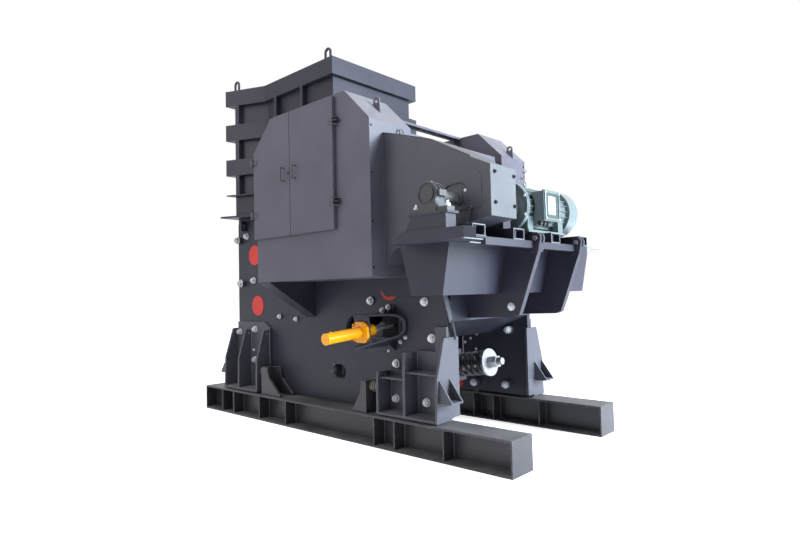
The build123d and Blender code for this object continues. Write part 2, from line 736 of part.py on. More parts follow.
def eccentric_shaft():
    """Shaft through both bearings, thicker inside the pitman barrel."""
    shaft = along_y(SHAFT_X, SHAFT_Z, SHAFT_RADIUS, -SHAFT_END_Y, SHAFT_END_Y)
    return shaft + along_y(SHAFT_X, SHAFT_Z, BARREL_BORE_RADIUS, -ECCENTRIC_HALF, ECCENTRIC_HALF)


def toggle_seat():
    """Rear toggle seat pushed by the wedges."""
    seat = block(TOGGLE_REAR[0] + SEAT_RELIEF, WEDGE_X - WEDGE_THICKNESS / 2,
                 -TOGGLE_HALF_WIDTH, TOGGLE_HALF_WIDTH, WEDGE_BOTTOM_Z, WEDGE_BOTTOM_Z + WEDGE_HEIGHT)
    return seat - toggle_plate()


def wedge():
    """Adjusting wedge between the toggle seat and the cross beam."""
    return block(WEDGE_X - WEDGE_THICKNESS / 2, WEDGE_X + WEDGE_THICKNESS / 2,
                 -WEDGE_END_Y, -WEDGE_GAP / 2, WEDGE_BOTTOM_Z, WEDGE_BOTTOM_Z + WEDGE_HEIGHT)


def cross_beam():
    """Hollow rear cross beam with the wedge floor and the seat of the tension spring."""
    front = WEDGE_X + WEDGE_THICKNESS / 2
    floor = WEDGE_BOTTOM_Z
    low = floor - FLOOR_THICKNESS
    wall = CROSS_WALL
    nose = TOGGLE_REAR[0] - CROSS_NOSE
    outer = [(nose, low), (CROSS_KNEE_X, low), (FRAME_REAR_X, CROSS_REAR_Z),
             (FRAME_REAR_X, CROSS_TOP_Z), (front, CROSS_TOP_Z), (front, floor), (nose, floor)]
    inner = [(front + wall, low + wall), (CROSS_KNEE_X - wall / 4, low + wall),
             (FRAME_REAR_X - wall, CROSS_REAR_Z + wall / 2),
             (FRAME_REAR_X - wall, CROSS_TOP_Z - wall), (front + wall, CROSS_TOP_Z - wall)]
    beam = side_profile(outer, -INNER_Y, INNER_Y) - side_profile(inner, -INNER_Y, INNER_Y)
    half = WASHER_RADIUS + SPRING_SEAT_MARGIN
    seat = on_rod(Pos(0, 0, SPRING_SEAT / 2) * Box(2 * half, 2 * half, SPRING_SEAT),
                  from_tip(SPRING_FRONT_X))
    rear = SPRING_FRONT_X - WELD_LAP
    seat_low = rod_z(SPRING_FRONT_X) - half + SPRING_CHEEK
    cheek = [(rear - SPRING_CHEEK_LENGTH, low), (rear, low), (rear, seat_low),
             (rear - SPRING_CHEEK_LENGTH / 4, seat_low)]
    for y in (-half, half - SPRING_CHEEK):
        seat += side_profile(cheek, y, y + SPRING_CHEEK)
    seat -= on_rod(Pos(0, 0, ROD_LENGTH / 2) * Cylinder(ROD_RADIUS + ROD_HOLE_GAP, ROD_LENGTH), 0)
    return beam + seat


def foot_flange(x0, x1):
    """Upright end flange of a foot, across the edge of the side plate."""
    y = FRAME_OUTER_Y
    outline = [(-y + FLANGE_INNER, FOOT_TOP_Z), (-y - FLANGE_TOP_DEPTH, FOOT_TOP_Z),
               (-y - FOOT_DEPTH + FLANGE_SHOULDER_INSET, FOOT_SHOULDER_Z),
               (-y - FOOT_DEPTH, FOOT_BASE_Z), (-y + FLANGE_INNER, FOOT_BASE_Z)]
    return end_profile(outline, x0, x1)


def foot_gusset(x, top_z, top_depth):
    """Upright gusset on the back plate, with a hole near its top."""
    root = FRAME_OUTER_Y + FOOT_BACK
    tip = FRAME_OUTER_Y + top_depth
    toe = FRAME_OUTER_Y + FOOT_DEPTH
    shoulder = (-toe + GUSSET_SHOULDER_INSET, FOOT_SHOULDER_Z - GUSSET_SHOULDER_DROP)
    outline = [(-root, top_z), (-tip, top_z), shoulder, (-toe, FOOT_BASE_Z), (-root, FOOT_BASE_Z)]
    x0 = x - GUSSET_THICKNESS / 2
    x1 = x + GUSSET_THICKNESS / 2
    gusset = end_profile(outline, x0, x1)
    return gusset - along_x(-(root + tip) / 2, top_z - GUSSET_HOLE_DROP, GUSSET_HOLE_RADIUS, x0, x1)


def lifting_ear(x, side):
    """Open ear of two triangular plates and a floor on a foot flange."""
    y_mid = -FRAME_OUTER_Y - FOOT_DEPTH / 2 + EAR_SHIFT
    y0 = y_mid - EAR_WIDTH / 2
    y1 = y_mid + EAR_WIDTH / 2
    tip = x + side * EAR_REACH
    low = FOOT_SHOULDER_Z - EAR_HEIGHT
    cheek = [(x, FOOT_SHOULDER_Z), (tip, low), (tip, low - EAR_FLOOR), (x, low - EAR_FLOOR)]
    ear = block(min(x, tip), max(x, tip), y0, y1, low - EAR_FLOOR, low)
    for y in (y0, y1 - EAR_PLATE):
        ear += side_profile(cheek, y, y + EAR_PLATE)
    return ear


def foot_base(x0, x1):
    """Base plate of a foot on its rubber pad."""
    y = FRAME_OUTER_Y
    return block(x0, x1, -y - FOOT_DEPTH - FOOT_BASE_LIP, -y, PAD_TOP_Z, FOOT_BASE_Z)


def front_foot():
    """Front foot: base, back plate, end flange, gussets and ear."""
    x0 = FRAME_FRONT_X - FOOT_FLANGE
    x1 = FRONT_GUSSETS_X[-1] + GUSSET_THICKNESS / 2
    y = FRAME_OUTER_Y
    run, drop = FRONT_BACK_CUT
    back = [(FRAME_FRONT_X, FOOT_BASE_Z), (FRAME_FRONT_X, FRONT_BACK_TOP_Z),
            (x1 - run, FRONT_BACK_TOP_Z), (x1, FRONT_BACK_TOP_Z - drop), (x1, FOOT_BASE_Z)]
    foot = foot_base(x0, x1) + side_profile(back, -y - FOOT_BACK, -y)
    foot += foot_flange(x0, FRAME_FRONT_X)
    for x in FRONT_GUSSETS_X:
        foot += foot_gusset(x, FRONT_GUSSET_TOP_Z, GUSSET_TOP_DEPTH)
    return foot + lifting_ear(x0, -1)


def rear_foot():
    """Rear foot: base, stepped back plate, end flange, two gussets tied by ribs, and ear."""
    x0 = REAR_GUSSETS_X[0] - GUSSET_THICKNESS / 2
    x1 = FRAME_REAR_X + FOOT_FLANGE
    y = FRAME_OUTER_Y
    foot = foot_base(x0, x1) + foot_flange(FRAME_REAR_X, x1)
    start = x0
    for end, top in REAR_BACK_STEPS:
        foot += block(start, end, -y - FOOT_BACK, -y, FOOT_BASE_Z, top)
        start = end
    for x, top in zip(REAR_GUSSETS_X, REAR_GUSSETS_TOP_Z):
        foot += foot_gusset(x, top, REAR_GUSSET_TOP_DEPTH)
    ends = (*REAR_GUSSETS_X, FRAME_REAR_X)
    for k, z in enumerate(REAR_RIBS_Z):
        foot += block(ends[k], ends[k + 1], -y - FOOT_DEPTH + REAR_RIB_INSET, -y,
                      z, z + REAR_RIB_THICKNESS)
    return foot + lifting_ear(x1, 1)


def stopper(face_x, end_x):
    """Stepped stopper bracket welded on a beam, its face towards the foot's buffer."""
    side = 1 if end_x > face_x else -1
    length = abs(end_x - face_x)
    top = BEAM_HEIGHT + STOPPER_HEIGHT
    x_plate = face_x + side * STOPPER_PLATE
    outline = [(x_plate, BEAM_HEIGHT), (x_plate, top), (face_x + side * 0.32 * length, top),
               (face_x + side * 0.42 * length, BEAM_HEIGHT + 0.6 * STOPPER_HEIGHT),
               (face_x + side * 0.66 * length, BEAM_HEIGHT + 0.38 * STOPPER_HEIGHT),
               (end_x, BEAM_HEIGHT + STOPPER_TOE), (end_x, BEAM_HEIGHT)]
    y0 = -STOPPER_Y
    y1 = y0 + STOPPER_WIDTH
    bracket = block(min(face_x, x_plate), max(face_x, x_plate), y0, y1, BEAM_HEIGHT, top)
    for y in (y0, y1 - STOPPER_PLATE):
        bracket += side_profile(outline, y, y + STOPPER_PLATE)
    return bracket


def buffer_stack(x0, x1):
    """Stack of rubber discs with thin steel washers between them."""
    y = -STOPPER_Y + STOPPER_WIDTH / 2
    stack = along_x(y, BUFFER_Z, BUFFER_RADIUS - BUFFER_GROOVE, x0, x1)
    step = (x1 - x0) / BUFFER_DISCS
    for k in range(BUFFER_DISCS):
        middle = x0 + (k + 0.5) * step
        stack += along_x(y, BUFFER_Z, BUFFER_RADIUS, middle - 0.32 * step, middle + 0.32 * step)
    return stack


def cylinder_plane():
    """Plane at the cap of the wedge cylinder, its Z pointing to the machine."""
    tilt = radians(CYLINDER_TILT)
    return Plane(origin=(WEDGE_X, -CYLINDER_END, CYLINDER_Z), x_dir=(1, 0, 0),
                 z_dir=(0, cos(tilt), sin(tilt)))


def on_cylinder(shape, start, length):
    """Place a shape centred on its own middle along the wedge cylinder."""
    return cylinder_plane() * Pos(0, 0, start + length / 2) * shape


def collar():
    """Square mounting collar of the wedge cylinder, its corners cut."""
    square = Rectangle(COLLAR_SIZE, COLLAR_SIZE)
    plate = extrude(chamfer(square.vertices(), COLLAR_CHAMFER), amount=COLLAR_THICKNESS / 2, both=True)
    return on_cylinder(plate, CYLINDER_LENGTH - COLLAR_LAP, COLLAR_THICKNESS)


def gland_start():
    """Distance along the wedge cylinder from its cap to the gland."""
    return CYLINDER_LENGTH - COLLAR_LAP + COLLAR_THICKNESS


def wedge_cylinder():
    """Hydraulic wedge cylinder: tube, collar and gland."""
    body = on_cylinder(Cylinder(CYLINDER_RADIUS, CYLINDER_LENGTH), 0, CYLINDER_LENGTH)
    body += collar()
    body += on_cylinder(Cylinder(GLAND_RADIUS, GLAND_LENGTH), gland_start(), GLAND_LENGTH)
    return body


def wedge_rod():
    """Piston rod from the gland to the end of the wedge."""
    start = gland_start() + GLAND_LENGTH
    length = (CYLINDER_END - WEDGE_END_Y) / cos(radians(CYLINDER_TILT)) - start + WELD_LAP
    rod = on_cylinder(Cylinder(PISTON_ROD_RADIUS, length), start, length)
    return rod - wedge()


def bracket_gussets():
    """Gusset plates above and below the cradle, square to the side plate."""
    x0 = BRACKET_GUSSET_X - BRACKET_GUSSET / 2
    root = -FRAME_OUTER_Y
    tip = root - BRACKET_GUSSET_REACH
    leg = BRACKET_GAP + BRACKET_PLATE - WELD_LAP
    high = OPENING_Z[2] + leg
    low = opening_low_z(BRACKET_GUSSET_X) - leg
    upper = [(root, high), (root, high + BRACKET_GUSSET_HEIGHT), (tip, high)]
    lower = [(root, low), (root, low - BRACKET_GUSSET_HEIGHT), (tip, low)]
    return end_profile(upper, x0, x0 + BRACKET_GUSSET) + end_profile(lower, x0, x0 + BRACKET_GUSSET)


def cylinder_bracket():
    """Cradle bent round the wedge window, with the seat plate of the cylinder's collar."""
    root = -FRAME_OUTER_Y
    end = min(y for x, y in BRACKET_TIP)
    plan = [(BRACKET_ROOT_X[0], root), *BRACKET_TIP, (BRACKET_ROOT_X[1], root)]
    low = OPENING_Z[0] - 2 * BRACKET_GUSSET_HEIGHT
    limit = plan_profile(plan, low, OPENING_Z[2] + 2 * BRACKET_GUSSET_HEIGHT)
    shell = window_solid(BRACKET_GAP + BRACKET_PLATE, end, root)
    inside = window_solid(BRACKET_GAP, end, root)
    seat = on_cylinder(Box(COLLAR_SIZE, 2 * COLLAR_SIZE, BRACKET_PLATE), gland_start(), BRACKET_PLATE)
    seat &= window_solid(BRACKET_GAP + 1, end, root)
    bore = on_cylinder(Cylinder(GLAND_RADIUS + GLAND_FIT, 2 * GLAND_LENGTH), gland_start() - BRACKET_PLATE,
                       2 * GLAND_LENGTH)
    return ((shell - inside) & limit) + (seat - bore) + bracket_gussets()


def hopper_plan(inset):
    """Plan of the hopper, flared in front of the kink, inset from its band face."""
    points = [(HOPPER_REAR_X, -HOPPER_HALF_WIDTH), (HOPPER_KINK_X, -HOPPER_HALF_WIDTH),
              (HOPPER_FRONT_X, -HOPPER_FRONT_HALF), (HOPPER_FRONT_X, HOPPER_FRONT_HALF),
              (HOPPER_KINK_X, HOPPER_HALF_WIDTH), (HOPPER_REAR_X, HOPPER_HALF_WIDTH)]
    face = make_face(Polyline(*[(x, y, 0) for x, y in points], close=True))
    if inset:
        face = offset(face, amount=-inset, kind=Kind.INTERSECTION)
    return face


def ring_solid(outer_inset, inner_inset, z0, z1):
    """Band between two insets of the hopper plan."""
    outer = extrude(Pos(0, 0, z0) * hopper_plan(outer_inset), amount=z1 - z0)
    return outer - extrude(Pos(0, 0, z0) * hopper_plan(inner_inset), amount=z1 - z0)


def hopper_walls():
    """Hopper walls and the flange that sits on the side plates."""
    base = PLATE_TOP_Z + HOPPER_FLANGE
    wall_in = BAND_DEPTH + HOPPER_WALL
    walls = ring_solid(BAND_DEPTH, wall_in, base, HOPPER_TOP_Z)
    flange = extrude(Pos(0, 0, PLATE_TOP_Z) * hopper_plan(-HOPPER_FLANGE_OUT), amount=HOPPER_FLANGE)
    wide = HOPPER_FRONT_HALF + 2 * HOPPER_FLANGE_OUT
    flange -= block(HOPPER_REAR_X, HOPPER_REAR_X + 2 * HOPPER_FLANGE_OUT, -wide, wide,
                    PLATE_TOP_Z, base)
    flange -= block(FRAME_FRONT_X + FRONT_WALL_THICKNESS + HOPPER_THROAT_GAP, HOPPER_REAR_X - wall_in,
                    -HOPPER_HALF_WIDTH + wall_in, HOPPER_HALF_WIDTH - wall_in, PLATE_TOP_Z, base)
    return walls + flange


def hopper_bands():
    """Stiffening bands round the hopper, evenly spaced, with upright ribs between them."""
    levels = [(SHELF_Z, SHELF_Z + SHELF_THICKNESS)]
    for k in range(BANDS):
        low = levels[-1][1] + BAND_GAP
        levels.append((low, low + BAND_HEIGHT))
    levels.append((HOPPER_TOP_Z - RING_HEIGHT, HOPPER_TOP_Z))
    bands = ring_solid(0, BAND_DEPTH, *levels[0])
    outside = HOPPER_FRONT_HALF + BAND_DEPTH
    for below, level in zip(levels, levels[1:]):
        bands += ring_solid(0, BAND_DEPTH, *level)
        space = ring_solid(0, BAND_DEPTH, below[1], level[0])
        for x in HOPPER_RIBS_X:
            for y0, y1 in ((-outside, -HOPPER_HALF_WIDTH / 2), (HOPPER_HALF_WIDTH / 2, outside)):
                bands += space & block(x, x + HOPPER_RIB_WIDTH, y0, y1, below[1], level[0])
    return bands


def eye(x, y, z):
    """Bent bar eye standing on a face."""
    r = EYE_RADIUS
    rise = EYE_HEIGHT - EYE_RADIUS - EYE_ROD
    path = Line((-r, 0, 0), (-r, 0, rise)) + ThreePointArc((-r, 0, rise), (0, 0, rise + r), (r, 0, rise))
    path += Line((r, 0, rise), (r, 0, 0))
    return Pos(x, y, z) * sweep(Pos(-r, 0, 0) * Circle(EYE_ROD), path=path)


def hopper_eyes():
    """Lifting eyes on the top ring."""
    flare = (HOPPER_FRONT_HALF - HOPPER_HALF_WIDTH) / (HOPPER_KINK_X - HOPPER_FRONT_X)
    eyes = []
    for x, side in EYE_PLACES:
        y = HOPPER_HALF_WIDTH + max(0, HOPPER_KINK_X - x) * flare - BAND_DEPTH / 2
        eyes.append(eye(x, side * y, HOPPER_TOP_Z))
    return eyes


def guard_outline(inset):
    """Side outline of a wheel guard with both top corners cut."""
    x0 = GUARD_FRONT_X + inset
    x1 = GUARD_REAR_X - inset
    z0 = GUARD_BOTTOM_Z + inset
    z1 = GUARD_TOP_Z - inset
    cut = GUARD_CHAMFER - inset * (2 - 2 ** 0.5)
    return [(x0, z0), (x1, z0), (x1, z1 - cut), (x1 - cut, z1), (x0 + cut, z1), (x0, z1 - cut)]


def wheel_guard(inner_y):
    """Sheet guard round a wheel, with the doorway in its outer face and a bearing hole."""
    guard = side_profile(guard_outline(0), -GUARD_OUTER_Y, -inner_y)
    guard -= side_profile(guard_outline(GUARD_SHEET), -GUARD_OUTER_Y + GUARD_SHEET,
                          -inner_y - GUARD_SHEET)
    top = GUARD_TOP_Z - DOOR_TOP_GAP - DOOR_LAP
    left = GUARD_FRONT_X + DOOR_LAP
    right = DOOR_REAR_X - DOOR_LAP
    low = DOOR_BOTTOM_Z + DOOR_LAP
    cut = GUARD_CHAMFER - DOOR_LAP / 2
    doorway = [(left, low), (right, low), (right, top), (left + cut, top), (left, top - cut)]
    guard -= side_profile(doorway, -GUARD_OUTER_Y, -GUARD_OUTER_Y + GUARD_SHEET)
    return guard - along_y(SHAFT_X, SHAFT_Z, BEARING_FLANGE_RADIUS + HINGE_WRAP / 2,
                           -inner_y - GUARD_SHEET, -inner_y)


def guard_eye(x, y):
    """Plate eye standing on the rear slope of a wheel guard."""
    half = GUARD_EYE_HALF
    r = GUARD_EYE_RADIUS
    foot = GUARD_TOP_Z - (x - GUARD_REAR_X + GUARD_CHAMFER)
    centre = foot + GUARD_EYE_HEIGHT
    y0 = y - GUARD_EYE_PLATE / 2
    y1 = y + GUARD_EYE_PLATE / 2
    plate = side_profile([(x - half, foot + half), (x + half, foot - half), (x + r, centre),
                          (x - r, centre)], y0, y1)
    return plate + along_y(x, centre, r, y0, y1) - along_y(x, centre, GUARD_EYE_HOLE, y0, y1)


def belt_guard_eye():
    """Ring eye screwed into the lid of the belt guard."""
    x, y = BELT_GUARD_EYE
    (x0, z0), (x1, z1) = BELT_GUARD_OUTLINE[:2]
    face = z0 + (z1 - z0) * (x - x0) / (x1 - x0) + BELT_GUARD_LID
    centre = face + BELT_GUARD_EYE_SHANK + BELT_GUARD_EYE_RADIUS
    ring = Rot(0, 90, 0) * Torus(BELT_GUARD_EYE_RADIUS, BELT_GUARD_EYE_ROD)
    shank = along_z(x, y, BELT_GUARD_EYE_ROD, face - BELT_GUARD_EYE_ROD, centre - BELT_GUARD_EYE_RADIUS)
    return Pos(x, y, centre) * ring + (shank - belt_guard_lid())


def guard_eyes():
    """Lifting eyes of the two wheel guards and the belt guard."""
    drive, fly = GUARD_EYE_X
    return [guard_eye(drive, -(GUARD_OUTER_Y + GUARD_INNER_Y) / 2),
            guard_eye(fly, (GUARD_OUTER_Y + FLY_GUARD_INNER_Y) / 2), belt_guard_eye()]


def guard_tie():
    """Folded cross tie between the tops of the two wheel guards."""
    x0, x1 = TIE_X
    y0 = -GUARD_INNER_Y
    y1 = FLY_GUARD_INNER_Y
    top = GUARD_TOP_Z
    tie = block(x0, x1, y0, y1, top - TIE_SHEET, top)
    for x in (x0, x1 - TIE_SHEET):
        tie += block(x, x + TIE_SHEET, y0, y1, top - TIE_LIP, top)
    return tie


def drive_guard():
    """Guard of the drive pulley, open to the belt guard behind it, with hinge lugs."""
    guard = wheel_guard(GUARD_INNER_Y)
    margin = GUARD_PASSAGE_MARGIN
    passage = [z for x, z in BELT_GUARD_OUTLINE if x == GUARD_REAR_X]
    guard -= block(GUARD_REAR_X - GUARD_SHEET, GUARD_REAR_X, -BELT_GUARD_OUTER_Y + margin,
                   -BELT_GUARD_INNER_Y - margin, min(passage) + margin, max(passage) - margin)
    return guard + hinge_lugs()


def hinge_places():
    """Hinge axes of both door leaves as (x, side, heights), side pointing away from the leaf."""
    return ((DOOR_FRONT_X - HINGE_OFFSET, -1, FRONT_HINGES_Z),
            (DOOR_REAR_X + HINGE_OFFSET, 1, REAR_HINGES_Z))


def hinge_y():
    """Hinge axis, proud of the door face."""
    return -GUARD_OUTER_Y - DOOR_CLEARANCE - DOOR_DEPTH - HINGE_STANDOFF


def hinge_lug(x, side, z0):
    """Fixed lug of a hinge, on the guard's face or wrapped on to its front edge."""
    y = hinge_y()
    face = -GUARD_OUTER_Y
    outer = x + side * HINGE_RADIUS
    inner = x - side * HINGE_CLEAR
    points = [(inner, y), (outer, y)]
    if side < 0:
        points += [(outer, face + HINGE_WRAP), (GUARD_FRONT_X, face + HINGE_WRAP),
                   (GUARD_FRONT_X, face), (inner, face)]
    else:
        points += [(outer + HINGE_WRAP, face), (inner, face)]
    return plan_profile(points, z0, z0 + HINGE_LUG) + along_z(x, y, HINGE_RADIUS, z0,
                                                             z0 + HINGE_LUG)


def hinge_lugs():
    """Fixed hinge lugs with their pins on the guard."""
    lugs = None
    y = hinge_y()
    for x, side, heights in hinge_places():
        for z in heights:
            low = z - HINGE_HEIGHT / 2 - HINGE_GAP
            high = z + HINGE_HEIGHT / 2 + HINGE_GAP
            hinge = hinge_lug(x, side, low - HINGE_LUG) + hinge_lug(x, side, high)
            hinge += along_z(x, y, HINGE_PIN_RADIUS, low - HINGE_LUG, high + HINGE_LUG)
            lugs = hinge if lugs is None else lugs + hinge
    return lugs


def leaf_outline(x0, x1, cut, inset):
    """Outline of a door leaf, its front top corner cut, set in from its edge."""
    low = DOOR_BOTTOM_Z + inset
    top = GUARD_TOP_Z - DOOR_TOP_GAP - inset
    left = x0 + inset
    outline = [(left, low), (x1 - inset, low), (x1 - inset, top)]
    if not cut:
        return outline + [(left, top)]
    slope = cut - inset * (2 - 2 ** 0.5)
    return outline + [(left + slope, top), (left, top - slope)]


def bow_handle(x, face_y):
    """Bow handle of round bar on a door face."""
    grip_y = face_y - HANDLE_STANDOFF
    low = HANDLE_Z - HANDLE_HEIGHT / 2
    high = HANDLE_Z + HANDLE_HEIGHT / 2
    handle = along_z(x, grip_y, HANDLE_ROD, low, high)
    for z in (low + HANDLE_ROD, high - HANDLE_ROD):
        handle += along_y(x, z, HANDLE_ROD, grip_y, face_y)
    return handle


def door_leaf(front):
    """Folded sheet door leaf with knuckles, straps and a bow handle."""
    y1 = -GUARD_OUTER_Y - DOOR_CLEARANCE
    y0 = y1 - DOOR_DEPTH
    split = DOOR_SPLIT_X - DOOR_GAP / 2 if front else DOOR_SPLIT_X + DOOR_GAP / 2
    x0, x1, cut = (DOOR_FRONT_X, split, GUARD_CHAMFER) if front else (split, DOOR_REAR_X, 0)
    leaf = side_profile(leaf_outline(x0, x1, cut, 0), y0, y1)
    leaf -= side_profile(leaf_outline(x0, x1, cut, DOOR_SHEET), y0 + DOOR_SHEET, y1)
    hinge_x, side, heights = hinge_places()[0 if front else 1]
    y = hinge_y()
    for z in heights:
        z0 = z - HINGE_HEIGHT / 2
        z1 = z + HINGE_HEIGHT / 2
        leaf += along_z(hinge_x, y, HINGE_RADIUS, z0, z1)
        leaf += block(hinge_x, hinge_x - side * HINGE_STRAP, y0 - DOOR_SHEET, y0, z0, z1)
        leaf += block(hinge_x, hinge_x - side * HINGE_RADIUS, y, y0, z0, z1)
        leaf -= along_z(hinge_x, y, HINGE_PIN_RADIUS + HINGE_PLAY, z0, z1)
    return leaf + bow_handle(split + side * HANDLE_INSET, y0)


def guard_bracket():
    """Triangular box bracket that carries a wheel guard off the side plate."""
    outline = [(-FRAME_OUTER_Y, GUARD_BOTTOM_Z), (-GUARD_OUTER_Y, GUARD_BOTTOM_Z),
               (-GUARD_OUTER_Y, GUARD_BOTTOM_Z - GUARD_BRACKET_TOE),
               (-FRAME_OUTER_Y, GUARD_BRACKET_BOTTOM_Z)]
    return end_profile(outline, *GUARD_BRACKET_X)


def guard_studs(inner_y):
    """Spacers between a side plate and the inner wall of its wheel guard."""
    return [along_y(x, z, GUARD_STUD_RADIUS, -inner_y, -FRAME_OUTER_Y) for x, z in GUARD_STUDS]


def belt_groove_path(radius_big, radius_small):
    """Outline of a taut loop round both pulleys, as a face in the side view."""
    run = DRIVE_X - SHAFT_X
    rise = DRIVE_Z - SHAFT_Z
    distance = hypot(run, rise)
    slope = atan2(rise, run)
    lean = asin((radius_big - radius_small) / distance)
    corners = []
    for angle, centre, radius in ((slope + pi / 2 - lean, (SHAFT_X, SHAFT_Z), radius_big),
                                  (slope + pi / 2 - lean, (DRIVE_X, DRIVE_Z), radius_small),
                                  (slope - pi / 2 + lean, (DRIVE_X, DRIVE_Z), radius_small),
                                  (slope - pi / 2 + lean, (SHAFT_X, SHAFT_Z), radius_big)):
        corners.append((centre[0] + radius * cos(angle), centre[1] + radius * sin(angle)))
    return corners


def belt_loop(grow, y0, y1):
    """Filled loop round both pulleys, larger than the groove floors by a depth."""
    big = PULLEY_FLOOR + grow
    small = SMALL_FLOOR + grow
    loop = side_profile(belt_groove_path(big, small), y0, y1)
    return loop + along_y(SHAFT_X, SHAFT_Z, big, y0, y1) + along_y(DRIVE_X, DRIVE_Z, small, y0, y1)


def belt_places():
    """Y planes of the belts, one groove each."""
    first = PULLEY_Y - BELT_PITCH * (BELTS - 1) / 2
    return [first + BELT_PITCH * k for k in range(BELTS)]


def drive_belts():
    """Belts seated on the floors of the pulley grooves."""
    belts = []
    for y in belt_places():
        y0 = y - BELT_WIDTH / 2
        y1 = y + BELT_WIDTH / 2
        belts.append(belt_loop(BELT_DEPTH, y0, y1) - belt_loop(0, y0, y1))
    return belts


def grooved(wheel, x, z, radius, floor):
    """Cut the belt grooves into a wheel."""
    for y in belt_places():
        y0 = y - BELT_WIDTH / 2 - BELT_PLAY
        y1 = y + BELT_WIDTH / 2 + BELT_PLAY
        wheel -= along_y(x, z, 2 * radius, y0, y1) - along_y(x, z, floor, y0, y1)
    return wheel


def wheel(y_mid, solid_rim):
    """Heavy wheel with rim, web, hub and round holes in its web."""
    y0 = y_mid - WHEEL_WIDTH / 2
    y1 = y_mid + WHEEL_WIDTH / 2
    disc = along_y(SHAFT_X, SHAFT_Z, WHEEL_RADIUS, y0, y1)
    inner = WHEEL_RADIUS - solid_rim
    for a, b in ((y0, y_mid - WHEEL_WEB / 2), (y_mid + WHEEL_WEB / 2, y1)):
        disc -= along_y(SHAFT_X, SHAFT_Z, inner, a, b) - along_y(SHAFT_X, SHAFT_Z,
                                                                WHEEL_HUB_RADIUS, a, b)
    for k in range(WHEEL_HOLES):
        angle = radians(360 / WHEEL_HOLES * k)
        reach = (inner + WHEEL_HUB_RADIUS) / 2
        disc -= along_y(SHAFT_X + reach * cos(angle), SHAFT_Z + reach * sin(angle),
                        WHEEL_HOLE_RADIUS, y0, y1)
    return disc - along_y(SHAFT_X, SHAFT_Z, SHAFT_RADIUS, y0, y1)


def belt_guard():
    """Sheet tunnel round the belts, open towards the drive guard and at its rear."""
    y0 = -BELT_GUARD_OUTER_Y
    y1 = -BELT_GUARD_INNER_Y
    outline = list(BELT_GUARD_OUTLINE)
    tunnel = side_profile(outline, y0, y1)
    middle_z = (outline[0][1] + outline[-1][1]) / 2
    inner = []
    for x, z in outline:
        rise = GUARD_SHEET if z < middle_z else -GUARD_SHEET
        beyond = GUARD_SHEET if x == BELT_GUARD_REAR_X else 0
        ahead = GUARD_SHEET if x == GUARD_REAR_X else 0
        inner.append((x + beyond - ahead, z + rise))
    tunnel -= side_profile(inner, y0 + GUARD_SHEET, y1 - GUARD_SHEET)
    tunnel -= along_y(DRIVE_X, DRIVE_Z, SHAFT_CUTOUT, y0, y0 + GUARD_SHEET)
    return tunnel - along_y(DRIVE_X, DRIVE_Z, COUNTERSHAFT_RADIUS + SHAFT_GAP, y1 - GUARD_SHEET, y1)


def belt_guard_end():
    """Bolted plate that closes the rear of the belt guard."""
    low = BELT_GUARD_OUTLINE[5][1]
    high = BELT_GUARD_OUTLINE[4][1]
    x = BELT_GUARD_REAR_X
    return block(x, x + GUARD_SHEET, -BELT_GUARD_OUTER_Y, -BELT_GUARD_INNER_Y, low, high)


def belt_guard_lid():
    """Folded lid along the sloping top of the belt guard."""
    top = BELT_GUARD_OUTLINE[:4]
    raised = [(x, z + BELT_GUARD_LID) for x, z in reversed(top)]
    return side_profile(list(top) + raised, -BELT_GUARD_OUTER_Y, -BELT_GUARD_INNER_Y)


def top_hood():
    """Sheet hood over the pitman and the bearings, behind the hopper."""
    s = HOOD_SHEET
    y = FRAME_OUTER_Y + s
    x0 = HOPPER_REAR_X + HOPPER_CLEAR
    x1 = HOOD_REAR_X
    base = PLATE_TOP_Z + HOPPER_FLANGE + WELD_LAP
    rear_top = HOOD_TOP_Z - HOOD_TOP_FALL
    run, drop = HOOD_TAIL
    outer = [(x0, base), (x0, HOOD_TOP_Z), (x1, rear_top), (x1, HOOD_LOW_Z),
             (x1 - run, HOOD_LOW_Z - drop)]
    under = base - HOOD_SIDE_DROP
    inner = [(x0 - s, under), (x0 - s, HOOD_TOP_Z - s), (x1 - s, rear_top - s), (x1 - s, HOOD_LOW_Z),
             (x1 - run - s, HOOD_LOW_Z - drop), (x1 - run - s, under)]
    hood = side_profile(outer, -y, y) - side_profile(inner, -FRAME_OUTER_Y, FRAME_OUTER_Y)
    return hood - along_y(SHAFT_X, SHAFT_Z, BEARING_FLANGE_RADIUS + BEARING_FIT, -y, y)


